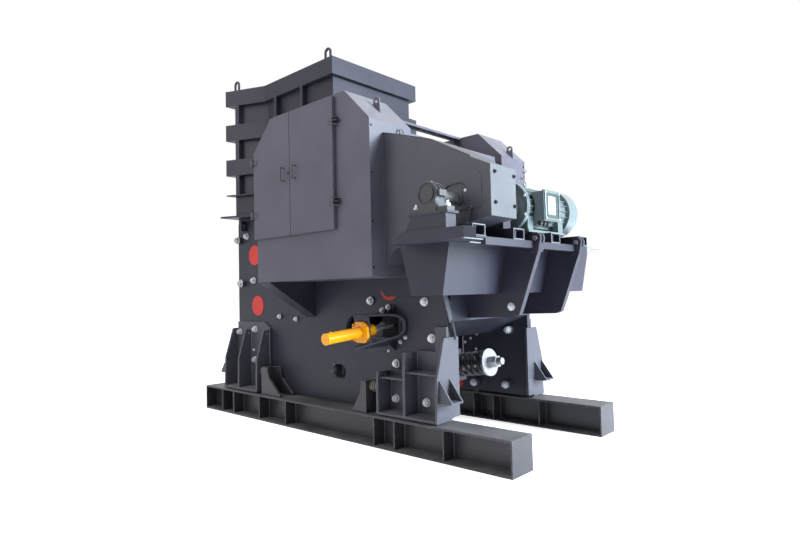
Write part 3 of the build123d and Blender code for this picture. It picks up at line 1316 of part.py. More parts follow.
def pillow_block(outer_y, covered):
    """Split pillow block round the countershaft, with a cover where the shaft ends in it."""
    y0 = outer_y
    y1 = outer_y + BLOCK_THICKNESS
    x = DRIVE_X
    inset = BLOCK_BASE_INSET
    body = along_y(x, DRIVE_Z, BLOCK_RADIUS, y0, y1)
    body += block(x - BLOCK_RADIUS, x + BLOCK_RADIUS, y0, y1, BLOCK_BASE_Z, DRIVE_Z)
    body += block(x - BLOCK_LENGTH / 2, x + BLOCK_LENGTH / 2, y0 + inset, y1 - inset,
                  BLOCK_BASE_Z, BLOCK_BASE_Z + BLOCK_BASE)
    half_height, reach, ear_inset = BLOCK_SPLIT
    body += block(x - BLOCK_RADIUS - reach, x + BLOCK_RADIUS + reach, y0 + ear_inset, y1 - ear_inset,
                  DRIVE_Z - half_height, DRIVE_Z + half_height)
    top = DRIVE_Z + BLOCK_RADIUS
    body += along_z(x, (y0 + y1) / 2, NIPPLE_RADIUS, top - WELD_LAP, top + NIPPLE_HEIGHT)
    start = y0 + BLOCK_COVER if covered else y0
    body -= along_y(x, DRIVE_Z, COUNTERSHAFT_RADIUS, start, y1)
    if covered:
        body -= along_y(x, DRIVE_Z, BLOCK_RADIUS, y0, y0 + BLOCK_BASE_INSET)
        body += along_y(x, DRIVE_Z, BLOCK_COVER_RADIUS, y0, y0 + BLOCK_COVER)
    return body


def bearing_support():
    """Pedestals under the two pillow blocks."""
    half = BLOCK_LENGTH / 2 + SUPPORT_MARGIN
    x0 = DRIVE_X - half
    x1 = DRIVE_X + half
    y0 = BLOCK_OUTER_Y
    y1 = y0 + SUPPORT_WIDTH
    plate_low = BLOCK_BASE_Z - SUPPORT_PLATE
    box_x = x0 + SUPPORT_END_INSET
    outer = block(x0, x1, y0, y1, plate_low, BLOCK_BASE_Z)
    outer += block(box_x, x1 - SUPPORT_END_INSET, y0 + SUPPORT_INSET, y1 - SUPPORT_INSET,
                   NEAR_BOX[4], plate_low)
    reach, thickness = SUPPORT_GUSSET
    for y in (y0 + SUPPORT_INSET, y1 - SUPPORT_INSET - thickness):
        outer += side_profile([(box_x, NEAR_BOX[4]), (box_x - reach, NEAR_BOX[4]), (box_x, plate_low)],
                              y, y + thickness)
    inner = block(x0, x1, INNER_BLOCK_Y, INNER_BLOCK_Y + BLOCK_THICKNESS,
                  PLATFORM_TOP_Z + RAIL_HEIGHT, BLOCK_BASE_Z)
    return [outer, inner]


def countershaft():
    """Countershaft with the small grooved pulley and its half of the coupling."""
    middle = MOTOR_FRONT_Y - COUPLING_HALF
    shaft = along_y(DRIVE_X, DRIVE_Z, COUNTERSHAFT_RADIUS, BLOCK_OUTER_Y + BLOCK_COVER, middle)
    small = along_y(DRIVE_X, DRIVE_Z, SMALL_PULLEY_RADIUS, PULLEY_Y - WHEEL_WIDTH / 2,
                    PULLEY_Y + WHEEL_WIDTH / 2)
    small = grooved(small, DRIVE_X, DRIVE_Z, SMALL_PULLEY_RADIUS, SMALL_FLOOR)
    return shaft + small + along_y(DRIVE_X, DRIVE_Z, COUPLING_RADIUS, middle - COUPLING_HALF, middle)


def motor_body():
    """Finned motor body with its end shield, coupling half and feet."""
    y0 = MOTOR_FRONT_Y
    y1 = MOTOR_END_Y - FAN_COVER_LENGTH
    body = along_y(DRIVE_X, DRIVE_Z, MOTOR_RADIUS - FIN_HEIGHT, y0, y1)
    reach = along_y(DRIVE_X, DRIVE_Z, MOTOR_RADIUS, y0 + FIN_START, y1)
    pairs = FIN_COUNT // 2
    length = y1 - y0 - FIN_START
    for k in range(pairs):
        fin = Rot(0, 180 / pairs * k, 0) * Box(3 * MOTOR_RADIUS, length, FIN_THICKNESS)
        body += Pos(DRIVE_X, y1 - length / 2, DRIVE_Z) * fin & reach
    body += along_y(DRIVE_X, DRIVE_Z, MOTOR_SHIELD_RADIUS, y0, y0 + SHIELD_LENGTH)
    body += along_y(DRIVE_X, DRIVE_Z, COUPLING_RADIUS, y0 - COUPLING_HALF, y0)
    front, rear = FOOT_LEG_INSETS
    bar_front, bar_rear = FOOT_BAR_INSETS
    for side in (-1, 1):
        foot_x = DRIVE_X + side * FOOT_LEG_X
        for y in (y0 + front, y1 - rear):
            body += block(foot_x - FOOT_LEG_HALF, foot_x + FOOT_LEG_HALF, y, y + FOOT_LEG_LENGTH,
                          MOTOR_FOOT_Z, DRIVE_Z - FOOT_LEG_RISE)
        body += block(foot_x - FOOT_BAR_HALF, foot_x + FOOT_BAR_HALF, y0 + bar_front, y1 - bar_rear,
                      MOTOR_FOOT_Z, MOTOR_FOOT_Z + FOOT_BAR_HEIGHT)
    return body


def fan_cover():
    """Round fan cover at the far end of the motor."""
    y1 = MOTOR_END_Y
    cover = along_y(DRIVE_X, DRIVE_Z, MOTOR_SHIELD_RADIUS, y1 - FAN_COVER_LENGTH, y1)
    rim = cover.edges().filter_by(GeomType.CIRCLE).sort_by(Axis.Y)[-1]
    return fillet(rim, FAN_ROUNDING)


def terminal_box():
    """Large terminal box on the rear flank of the motor."""
    x0, x1, y0, y1, z0, z1 = TERMINAL_BOX
    lip = TERMINAL_LID_LIP
    box = block(x0, x1, y0, y1, z0, z1)
    box += block(x1 - TERMINAL_LID, x1, y0 - lip, y1 + lip, z0 - lip, z1 + lip)
    return box - along_y(DRIVE_X, DRIVE_Z, MOTOR_RADIUS, y0 - lip, y1 + lip)


def platform_lug(y):
    """Lug of the platform that takes the pin of a hanger arm."""
    x, z = ARM_PIN
    r = PLATFORM_LUG_RADIUS
    back, rise = PLATFORM_LUG_ROOT
    root = PLATFORM_REAR_X - back
    half = ARM_FORK_GAP / 2 - PLATFORM_LUG_GAP
    base = PLATFORM_TOP_Z - WELD_LAP
    lug = side_profile([(root, base), (root, PLATFORM_TOP_Z + rise), (x, z + r), (x, z - r),
                        (PLATFORM_REAR_X, base)], y - half, y + half)
    lug += along_y(x, z, r, y - half, y + half)
    return lug - along_y(x, z, ARM_PIN_RADIUS, y - half, y + half)


def drive_platform():
    """Platform plate, near edge box and rear bar, cut clear of the hanger arms."""
    x0, x1, y0, y1, top = NEAR_BOX
    low = PLATFORM_TOP_Z - PLATFORM_PLATE
    skirt = low - NEAR_BOX_SKIRT
    deck = block(PLATFORM_FRONT_X, PLATFORM_REAR_X, y1, PLATFORM_FAR_Y, low, PLATFORM_TOP_Z)
    deck += side_profile([(x0, skirt), (x1, skirt), (x1, top), (x0 + NEAR_BOX_SLANT, top)], y0, y1)
    deck += block(PLATFORM_REAR_X, EDGE_PLATE_X, *EDGE_PLATE_Y, low, PLATFORM_TOP_Z)
    fork = ARM_FORK_WIDTH / 2 + ARM_FORK_CLEAR
    bar_low = PLATFORM_TOP_Z - BAR_HEIGHT
    ends = [BAR_NEAR_Y]
    for y in (-ARM_Y, ARM_Y):
        ends += [y - fork, y + fork]
        deck += platform_lug(y)
    ends.append(PLATFORM_FAR_Y)
    for a, b in zip(ends[::2], ends[1::2]):
        deck += block(PLATFORM_REAR_X, PLATFORM_REAR_X + BAR_DEPTH, a, b, bar_low, PLATFORM_TOP_Z)
    return deck


def platform_rails():
    """Open rectangular rails on the platform."""
    rails = []
    x1 = PLATFORM_REAR_X + BAR_DEPTH
    base = PLATFORM_TOP_Z
    for y in RAILS_Y:
        y0 = y - RAIL_WIDTH / 2
        y1 = y + RAIL_WIDTH / 2
        rail = block(RAIL_FRONT_X, x1, y0, y1, base, base + RAIL_HEIGHT)
        rail -= block(RAIL_FRONT_X, x1, y0 + RAIL_WALL, y1 - RAIL_WALL, base + RAIL_WALL,
                      base + RAIL_HEIGHT - RAIL_WALL)
        rails.append(rail)
    return rails


def platform_tray():
    """Wide box with sloping sides under the platform."""
    top = PLATFORM_TOP_Z - PLATFORM_PLATE
    outline = [(TRAY_TOP_X[0], top), (TRAY_BOTTOM_X[0], TRAY_BOTTOM_Z),
               (TRAY_BOTTOM_X[1], TRAY_BOTTOM_Z), (TRAY_TOP_X[1], top)]
    return side_profile(outline, -TRAY_HALF_WIDTH, TRAY_HALF_WIDTH)


def hanger_arm(y):
    """Hooked arm from the cross beam round the tray to the pin of the platform."""
    px, pz = ARM_PIN
    r = ARM_EAR_RADIUS
    outline = [(FRAME_REAR_X, ARM_ROOT_Z), *ARM_HEEL, *ARM_BACK, (px + r, pz), (px - r, pz),
               (PLATFORM_REAR_X, ARM_TOP_Z), (TRAY_TOP_X[1], ARM_TOP_Z),
               (TRAY_BOTTOM_X[1], TRAY_BOTTOM_Z), (FRAME_REAR_X, TRAY_BOTTOM_Z)]
    half = ARM_THICKNESS / 2
    fork = ARM_FORK_WIDTH / 2
    gap = ARM_FORK_GAP / 2
    arm = side_profile(outline, y - half, y + half)
    throat = pz - ARM_FORK_DROP
    arm += side_profile([(px - r, throat), (px + r / 2, throat), (px + r, pz), (px - r, pz)],
                        y - fork, y + fork)
    arm += along_y(px, pz, r, y - fork, y + fork)
    arm -= block(px - 2 * r, px + 2 * r, y - gap, y + gap, ARM_TOP_Z, pz + 2 * r)
    return arm - along_y(px, pz, ARM_PIN_RADIUS, y - fork, y + fork)


def arm_pins():
    """Pins through the arm forks and the platform lugs."""
    reach = ARM_FORK_WIDTH / 2 + ARM_PIN_HEAD
    return [along_y(ARM_PIN[0], ARM_PIN[1], ARM_PIN_RADIUS, y - reach, y + reach)
            for y in (-ARM_Y, ARM_Y)]


def tray_bracket():
    """Side bracket from the side plate to the front of the tray."""
    slope = (TRAY_BOTTOM_X[0] - TRAY_TOP_X[0]) / (ARM_TOP_Z - TRAY_BOTTOM_Z)
    high_z = TRAY_BRACKET_HIGH_Z
    high_x = TRAY_BOTTOM_X[0] - slope * (high_z - TRAY_BOTTOM_Z)
    outline = [*TRAY_BRACKET, (TRAY_BOTTOM_X[0], TRAY_BOTTOM_Z), (high_x, high_z), *TRAY_BRACKET_TOP]
    return side_profile(outline, -FRAME_OUTER_Y - TRAY_BRACKET_PLATE, -FRAME_OUTER_Y)


def foot_pads():
    """Rubber pads between the feet and the beams."""
    y = FRAME_OUTER_Y
    ends = ((FRAME_FRONT_X - FOOT_FLANGE, FRONT_GUSSETS_X[-1]),
            (REAR_GUSSETS_X[0], FRAME_REAR_X + FOOT_FLANGE))
    return [block(x0 + PAD_INSET, x1 - PAD_INSET, -y - FOOT_DEPTH + PAD_INSET, -y + PAD_LAP,
                  BEAM_HEIGHT, PAD_TOP_Z) for x0, x1 in ends]


def tension_screw():
    """Screw block for the belt tension at the far end of the rear bar."""
    x = PLATFORM_REAR_X + BAR_DEPTH / 2
    z = PLATFORM_TOP_Z - BAR_HEIGHT / 2
    half_depth, half_height, length = SCREW_BLOCK
    y = PLATFORM_FAR_Y
    screw = block(x - half_depth, x + half_depth, y, y + length, z - half_height, z + half_height)
    return screw + along_y(x, z, SCREW_RADIUS, y + length, y + length + SCREW_LENGTH)


def side_discs():
    """Round covers on the outer faces of the side plates, and one inside the far plate."""
    y = FRAME_OUTER_Y
    covers = [along_y(x, z, DISC_RADIUS, -y - DISC_THICKNESS, -y) for x, z in DISCS]
    covers[-1] -= tray_bracket()
    covers += [opposite(cover) for cover in covers]
    x, z = INNER_DISC
    return covers + [along_y(x, z, INNER_DISC_RADIUS, INNER_Y - DISC_THICKNESS, INNER_Y)]


def frame_bolts():
    """Hexagon bolt heads on the side plates, the feet and the front edge of each side plate."""
    y = FRAME_OUTER_Y
    small = SMALL_BOLT_SHARE
    heads = []
    for x, z in PLATE_BOLTS:
        base = y + BOSS_HEIGHT if (x, z) == BOSS_BOLT else y
        heads.append(hex_along_y(x, z, BOLT_RADIUS, -base - BOLT_HEAD, -base))
    heads.append(along_y(*BOSS_BOLT, BOSS_RADIUS, -y - BOSS_HEIGHT, -y))
    for x, z in SMALL_BOLTS:
        heads.append(hex_along_y(x, z, BOLT_RADIUS * small, -y - BOLT_HEAD * small, -y))
    back = y + FOOT_BACK
    for x, z in FOOT_BOLTS:
        heads.append(hex_along_y(x, z, BOLT_RADIUS, -back - BOLT_HEAD, -back))
    for z in FRONT_BOLTS_Z:
        heads.append(along_x(-y + PLATE_THICKNESS / 2, z, PLATE_THICKNESS / 2,
                             FRAME_FRONT_X - BOLT_HEAD, FRAME_FRONT_X))
    for x, z in INNER_BOLTS:
        end = -INNER_Y + SLEEVE_LENGTH
        heads.append(along_y(x, z, SLEEVE_RADIUS, -INNER_Y, end))
        heads.append(hex_along_y(x, z, BOLT_RADIUS, end, end + BOLT_HEAD))
    return heads + [opposite(head) for head in heads]


def frame_lug():
    """Lifting lug near the front of a side plate, below the hopper flange."""
    x0, x1 = FRAME_LUG_X
    high, low = FRAME_LUG_DROP
    reach, drop, radius = FRAME_LUG_HOLE
    lug = block(x0, x1, -FRAME_OUTER_Y - FRAME_LUG_REACH, -FRAME_OUTER_Y, PLATE_TOP_Z - low,
                PLATE_TOP_Z - high)
    return lug - along_x(-FRAME_OUTER_Y - reach, PLATE_TOP_Z - drop, radius, x0, x1)


def main():
    os.makedirs("parts", exist_ok=True)
    beam = carrying_beam()
    save("carrying_beams", beam, opposite(beam))
    plate = side_plate()
    save("side_plate_near", plate)
    save("side_plate_far", opposite(plate))
    save("front_wall", front_wall())
    save("fixed_jaw", jaw_liner(FIXED_JAW_BOTTOM_X, FIXED_JAW_TOP_X, 1, TOOTH_PITCH / 2))
    save("moving_jaw", jaw_liner(MOVING_JAW_BOTTOM_X, MOVING_JAW_TOP_X, -1, 0))
    save("cheek_plates", cheek_plate(), opposite(cheek_plate()))
    save("pitman", pitman())
    save("eccentric_shaft", eccentric_shaft())
    save("bearing_housings", bearing_housing(), opposite(bearing_housing()))
    save("toggle_plate", toggle_plate())
    save("toggle_seat", toggle_seat())
    save("adjusting_wedges", wedge(), opposite(wedge()))
    save("cross_beam", cross_beam())
    save("tension_rod", tension_rod())
    save("tension_spring", tension_spring())
    save("front_feet", front_foot(), opposite(front_foot()))
    save("rear_feet", rear_foot(), opposite(rear_foot()))
    pads = foot_pads()
    save("foot_pads", *pads, *[opposite(pad) for pad in pads])
    stops = [stopper(*FRONT_STOPPER_X), stopper(REAR_STOPPER_X[1], REAR_STOPPER_X[0])]
    save("beam_stoppers", *stops, *[opposite(stop) for stop in stops])
    buffers = [buffer_stack(FRONT_GUSSETS_X[-1] + GUSSET_THICKNESS / 2, FRONT_STOPPER_X[0]),
               buffer_stack(REAR_STOPPER_X[1], REAR_GUSSETS_X[0] - GUSSET_THICKNESS / 2)]
    save("buffer_stacks", *buffers, *[opposite(stack) for stack in buffers])
    save("wedge_cylinders", wedge_cylinder(), opposite(wedge_cylinder()))
    save("wedge_rods", wedge_rod(), opposite(wedge_rod()))
    save("cylinder_brackets", cylinder_bracket(), opposite(cylinder_bracket()))
    save("hopper_walls", hopper_walls())
    save("hopper_bands", hopper_bands())
    save("hopper_eyes", *hopper_eyes())
    save("drive_guard", drive_guard())
    save("drive_door_front", door_leaf(True))
    save("drive_door_rear", door_leaf(False))
    save("flywheel_guard", opposite(wheel_guard(FLY_GUARD_INNER_Y) + hinge_lugs()))
    save("guard_tie", guard_tie())
    save("guard_eyes", *guard_eyes())
    save("flywheel_doors", opposite(door_leaf(True)), opposite(door_leaf(False)))
    save("guard_brackets", guard_bracket(), opposite(guard_bracket()))
    save("guard_spacers", *guard_studs(GUARD_INNER_Y),
         *[opposite(stud) for stud in guard_studs(FLY_GUARD_INNER_Y)])
    pulley = grooved(wheel(PULLEY_Y, WHEEL_RIM), SHAFT_X, SHAFT_Z, WHEEL_RADIUS, PULLEY_FLOOR)
    save("drive_pulley", pulley)
    save("flywheel", wheel(FLYWHEEL_Y, 2 * WHEEL_RIM))
    save("drive_belts", *drive_belts())
    save("belt_guard", belt_guard())
    save("belt_guard_end", belt_guard_end())
    save("belt_guard_lid", belt_guard_lid())
    save("top_hood", top_hood())
    save("pillow_blocks", pillow_block(BLOCK_OUTER_Y, True), pillow_block(INNER_BLOCK_Y, False))
    save("bearing_supports", *bearing_support())
    save("countershaft", countershaft())
    save("motor_body", motor_body())
    save("motor_fan_cover", fan_cover())
    save("terminal_box", terminal_box())
    save("drive_platform", drive_platform())
    save("platform_rails", *platform_rails())
    save("platform_tray", platform_tray())
    save("hanger_arms", hanger_arm(-ARM_Y), hanger_arm(ARM_Y))
    save("arm_pins", *arm_pins())
    save("tray_brackets", tray_bracket(), opposite(tray_bracket()))
    save("tension_screw", tension_screw())
    save("side_discs", *side_discs())
    save("frame_bolts", *frame_bolts())
    save("frame_lugs", frame_lug(), opposite(frame_lug()))


if __name__ == "__main__":
    main()
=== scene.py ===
"""Dresses the jaw crusher: camera, light, paint, steel, and small parts the solids leave out."""
import json
from math import cos, pi, radians, sin

import bmesh
import bpy
from mathutils import Matrix, Vector


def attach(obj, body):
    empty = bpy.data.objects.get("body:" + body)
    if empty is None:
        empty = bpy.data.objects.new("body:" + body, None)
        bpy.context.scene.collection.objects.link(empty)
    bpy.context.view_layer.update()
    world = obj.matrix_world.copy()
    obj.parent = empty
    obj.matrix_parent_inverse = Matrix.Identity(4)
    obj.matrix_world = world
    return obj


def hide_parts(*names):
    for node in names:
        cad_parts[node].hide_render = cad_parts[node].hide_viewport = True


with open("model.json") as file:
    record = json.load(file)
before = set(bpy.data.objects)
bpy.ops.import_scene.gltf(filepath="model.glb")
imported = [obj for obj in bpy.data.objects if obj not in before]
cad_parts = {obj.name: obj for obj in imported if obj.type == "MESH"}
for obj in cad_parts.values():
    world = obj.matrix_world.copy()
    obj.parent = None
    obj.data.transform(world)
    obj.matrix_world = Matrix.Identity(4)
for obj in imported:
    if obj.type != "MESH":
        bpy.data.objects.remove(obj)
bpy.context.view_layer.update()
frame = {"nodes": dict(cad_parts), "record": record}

MACHINE, FRONT_DOOR, REAR_DOOR = "machine", "front_door", "rear_door"


# Nodes of any tree

def feed(tree, slot, value):
    """Give an input its value, or link it to the socket that feeds it."""
    if isinstance(value, bpy.types.NodeSocket):
        tree.links.new(value, slot)
    else:
        slot.default_value = value


def put(tree, kind, settings=None, **inputs):
    """Node with its settings; each input is a value or the socket that feeds it."""
    made = tree.nodes.new(kind)
    for key, value in (settings or {}).items():
        setattr(made, key, value)
    for label, value in inputs.items():
        name = label.replace("_", " ")
        feed(tree, next(s for s in made.inputs if s.enabled and s.name == name), value)
    return made


def math_node(tree, operation, first, second, clamp=False):
    """Output of a math node whose two inputs are sockets or numbers."""
    made = put(tree, "ShaderNodeMath", {"operation": operation, "use_clamp": clamp})
    feed(tree, made.inputs[0], first)
    feed(tree, made.inputs[1], second)
    return made.outputs[0]


def mix_shaders(tree, mask, first, second):
    """Output of one shader node where the mask is zero and of another where it is one."""
    mixed = put(tree, "ShaderNodeMixShader")
    for slot, value in zip(mixed.inputs, (mask, first.outputs[0], second.outputs[0])):
        tree.links.new(value, slot)
    return mixed.outputs[0]


# Camera, floor and lights

CAMERA_PLACE = (5.1475, -5.223, 1.590)
CAMERA_YAW, CAMERA_PITCH, CAMERA_ROLL = 42.672, 2.547, -1.332
SENSOR_WIDTH = 36
FOCAL_PIXELS = 572.15
PHOTO_WIDTH = 800
WHITE = (1, 1, 1, 1)


def set_camera():
    """Camera at the photograph's viewing angle, slightly rolled, looking a little upwards."""
    yaw, pitch, roll = radians(CAMERA_YAW), radians(CAMERA_PITCH), radians(CAMERA_ROLL)
    ahead = Vector((-sin(yaw) * cos(pitch), cos(yaw) * cos(pitch), sin(pitch)))
    right = Vector((cos(yaw), sin(yaw), 0))
    up = right.cross(ahead)
    right_rolled = right * cos(roll) + up * sin(roll)
    up_rolled = up * cos(roll) - right * sin(roll)
    turn = Matrix((right_rolled, up_rolled, -ahead)).transposed()
    data = bpy.data.cameras.new("photo_camera")
    data.sensor_width = SENSOR_WIDTH
    data.lens = SENSOR_WIDTH * FOCAL_PIXELS / PHOTO_WIDTH
    data.clip_end = 100
    camera = bpy.data.objects.new("photo_camera", data)
    bpy.context.collection.objects.link(camera)
    camera.matrix_world = Matrix.Translation(CAMERA_PLACE) @ turn.to_4x4()
    bpy.context.scene.camera = camera


def area_lamp(name, place, target, size, power, color):
    """Large soft lamp that points at a place on the machine."""
    data = bpy.data.lights.new(name, "AREA")
    data.shape = "RECTANGLE"
    data.size, data.size_y = size
    data.energy = power
    data.color = color
    lamp = bpy.data.objects.new(name, data)
    lamp.location = place
    lamp.rotation_euler = (Vector(target) - Vector(place)).to_track_quat("-Z", "Y").to_euler()
    bpy.context.collection.objects.link(lamp)


def plain_view(tree):
    """One for rays from the camera, a mirror or glass, which meet the white surroundings."""
    paths = put(tree, "ShaderNodeLightPath").outputs
    mirrored = math_node(tree, "MAXIMUM", paths["Is Glossy Ray"], paths["Is Transmission Ray"])
    return math_node(tree, "MAXIMUM", mirrored, paths["Is Camera Ray"])


def set_light():
    """Soft lamps at the motor end, above and on the drive side, in white surroundings."""
    area_lamp("key_light", (12.5, 4, 4.6), (0.5, 0, 2.2), (6, 6), 6000, (0.80, 0.92, 1.0))
    area_lamp("top_light", (1, -2, 12), (0, 0, 2), (9, 9), 1150, (0.97, 0.98, 1.0))
    area_lamp("side_light", (-3, -12, 7), (0, -1, 1.8), (8, 6), 450, (1.0, 0.97, 0.96))
    world = bpy.data.worlds.new("pale_surroundings")
    bpy.context.scene.world = world
    world.use_nodes = True
    tree = world.node_tree
    tree.nodes.clear()
    soft = put(tree, "ShaderNodeBackground", Color=(0.9, 0.94, 1.0, 1), Strength=0.31)
    white = put(tree, "ShaderNodeBackground", Color=WHITE)
    put(tree, "ShaderNodeOutputWorld", Surface=mix_shaders(tree, plain_view(tree), soft, white))


def set_floor():
    """Plain pale floor that keeps a soft shadow and reads as white."""
    bpy.ops.mesh.primitive_plane_add(size=120, location=(0, 0, -0.001))
    floor = bpy.context.object
    floor.name = "floor"
    material = bpy.data.materials.new("pale_floor")
    material.use_nodes = True
    tree = material.node_tree
    principled = tree.nodes["Principled BSDF"]
    principled.inputs["Base Color"].default_value = (0.86, 0.86, 0.87, 1)
    principled.inputs["Roughness"].default_value = 0.9
    none = put(tree, "ShaderNodeEmission", Strength=0)
    glow = put(tree, "ShaderNodeEmission", Color=WHITE, Strength=0.76)
    both = put(tree, "ShaderNodeAddShader")
    tree.links.new(principled.outputs[0], both.inputs[0])
    tree.links.new(mix_shaders(tree, plain_view(tree), none, glow), both.inputs[1])
    tree.links.new(both.outputs[0], tree.nodes["Material Output"].inputs["Surface"])
    floor.data.materials.append(material)


# Shared effects

def new_group(name, inputs, outputs):
    """Empty shader node group with named sockets, as (group, its inputs, its output node)."""
    group = bpy.data.node_groups.new(name, "ShaderNodeTree")
    for label, kind, value in inputs:
        socket = group.interface.new_socket(name=label, in_out="INPUT", socket_type=kind)
        socket.default_value = value
    for label, kind in outputs:
        group.interface.new_socket(name=label, in_out="OUTPUT", socket_type=kind)
    return group, put(group, "NodeGroupInput").outputs, put(group, "NodeGroupOutput")


def ramp(tree, source, low, high):
    """Spread the part of a value between two limits over 0 to 1."""
    return put(tree, "ShaderNodeMapRange", From_Min=low, From_Max=high,
               Value=source).outputs["Result"]


def noise(tree, place, scale, detail, rough):
    """Noise on the object's own coordinates; gives back its value."""
    return put(tree, "ShaderNodeTexNoise", Vector=place, Scale=scale, Detail=detail,
               Roughness=rough).outputs["Fac"]


def mix_color(tree, mask, first, second):
    """Mix two colours, each a socket or a tuple, by a mask."""
    first, second = ((*value, 1) if isinstance(value, tuple) else value
                     for value in (first, second))
    mixed = put(tree, "ShaderNodeMix", {"data_type": "RGBA"}, Factor=mask, A=first, B=second)
    return next(s for s in mixed.outputs if s.enabled)


def edge_group():
    """Edges lighter from rubbing and from a painted highlight: the bevelled normal against the flat
    one, broken up by noise.
    """
    group, source, sink = new_group(
        "worn_edges",
        [("Vector", "NodeSocketVector", (0, 0, 0)), ("Width", "NodeSocketFloat", 0.006),
         ("Breakup", "NodeSocketFloat", 14.0), ("Amount", "NodeSocketFloat", 0.5)],
        [("Mask", "NodeSocketFloat"), ("Normal", "NodeSocketVector")])
    bevelled = put(group, "ShaderNodeBevel", {"samples": 4}, Radius=source["Width"]).outputs[0]
    flat = put(group, "ShaderNodeNewGeometry").outputs["True Normal"]
    dot = put(group, "ShaderNodeVectorMath", {"operation": "DOT_PRODUCT"})
    group.links.new(bevelled, dot.inputs[0])
    group.links.new(flat, dot.inputs[1])
    bend = math_node(group, "SUBTRACT", 1.0, dot.outputs["Value"])
    edge = ramp(group, bend, low=0.02, high=0.16)
    spots = noise(group, source["Vector"], source["Breakup"], detail=6, rough=0.7)
    mask = math_node(group, "MULTIPLY", edge, ramp(group, spots, low=0.46, high=0.62), True)
    feed(group, sink.inputs["Mask"], math_node(group, "MULTIPLY", mask, source["Amount"], True))
    feed(group, sink.inputs["Normal"], bevelled)
    return group


def dust_group():
    """Dust that lies on upward faces and in broad stains."""
    group, source, sink = new_group(
        "settled_dust",
        [("Vector", "NodeSocketVector", (0, 0, 0)), ("Amount", "NodeSocketFloat", 0.5)],
        [("Mask", "NodeSocketFloat")])
    normal = put(group, "ShaderNodeNewGeometry").outputs["Normal"]
    parts = put(group, "ShaderNodeSeparateXYZ", Vector=normal)
    upward = ramp(group, parts.outputs["Z"], low=0.25, high=1.0)
    stains = noise(group, source["Vector"], scale=2.2, detail=5, rough=0.6)
    broad = ramp(group, stains, low=0.35, high=0.75)
    specks = noise(group, source["Vector"], scale=60, detail=4, rough=0.7)
    fine = ramp(group, specks, low=0.3, high=0.8)
    lying = math_node(group, "MULTIPLY", upward, math_node(group, "ADD", 0.45, broad))
    haze = math_node(group, "MULTIPLY", math_node(group, "MULTIPLY", broad, fine), 0.25)
    both = math_node(group, "ADD", lying, haze)
    feed(group, sink.inputs["Mask"], math_node(group, "MULTIPLY", both, source["Amount"], True))
    return group


def grain_group():
    """Fine height of sprayed paint or cast skin, with broad waves of rolled plate."""
    group, source, sink = new_group(
        "surface_grain",
        [("Vector", "NodeSocketVector", (0, 0, 0)), ("Fine Scale", "NodeSocketFloat", 350.0),
         ("Broad Scale", "NodeSocketFloat", 3.0), ("Broad Share", "NodeSocketFloat", 0.6)],
        [("Height", "NodeSocketFloat"), ("Stain", "NodeSocketFloat")])
    fine = noise(group, source["Vector"], source["Fine Scale"], detail=2, rough=0.5)
    broad = noise(group, source["Vector"], source["Broad Scale"], detail=2, rough=0.4)
    share = math_node(group, "MULTIPLY", broad, source["Broad Share"])
    feed(group, sink.inputs["Height"], math_node(group, "ADD", fine, share))
    stain = noise(group, source["Vector"], scale=1.3, detail=6, rough=0.65)
    feed(group, sink.inputs["Stain"], ramp(group, stain, low=0.3, high=0.7))
    return group


EDGE, DUST, GRAIN = edge_group(), dust_group(), grain_group()


def coated(name, color, rubbed_and_lit, roughness=0.42, wear=0.5, dust=0.5, metallic=0.0, coat=0.0,
           grain=0.12, fine=350.0, spread=0.12, width=0.005, shine=0.25,
           dust_color=(0.26, 0.25, 0.25)):
    """Painted or bare surface with stains, dust, edges lighter from rubbing and from a painted
    highlight, and a fine grain.
    """
    material = bpy.data.materials.new(name)
    material.use_nodes = True
    tree = material.node_tree
    place = put(tree, "ShaderNodeTexCoord").outputs["Object"]
    edge, lying, skin = (
        put(tree, "ShaderNodeGroup", {"node_tree": group}, Vector=place, **values).outputs
        for group, values in ((EDGE, {"Width": width, "Amount": wear}), (DUST, {"Amount": dust}),
                              (GRAIN, {"Fine_Scale": fine})))
    darker = tuple(part * (1 - spread) for part in color)
    lighter = tuple(min(1, part * (1 + spread)) for part in color)
    shade = mix_color(tree, skin["Stain"], darker, lighter)
    dusty = mix_color(tree, lying["Mask"], shade, dust_color)
    rough = math_node(tree, "ADD", math_node(tree, "MULTIPLY", lying["Mask"], 0.35),
                      math_node(tree, "MULTIPLY", skin["Stain"], 0.12))
    bump = put(tree, "ShaderNodeBump", Strength=grain, Distance=0.002, Height=skin["Height"],
               Normal=edge["Normal"])
    slots = tree.nodes["Principled BSDF"].inputs
    feed(tree, slots["Base Color"], mix_color(tree, edge["Mask"], dusty, rubbed_and_lit))
    feed(tree, slots["Roughness"], math_node(tree, "ADD", rough, roughness - 0.06, True))
    feed(tree, slots["Metallic"], metallic)
    feed(tree, slots["Coat Weight"], coat)
    feed(tree, slots["Specular IOR Level"], shine)
    feed(tree, slots["Normal"], bump.outputs["Normal"])
    return material
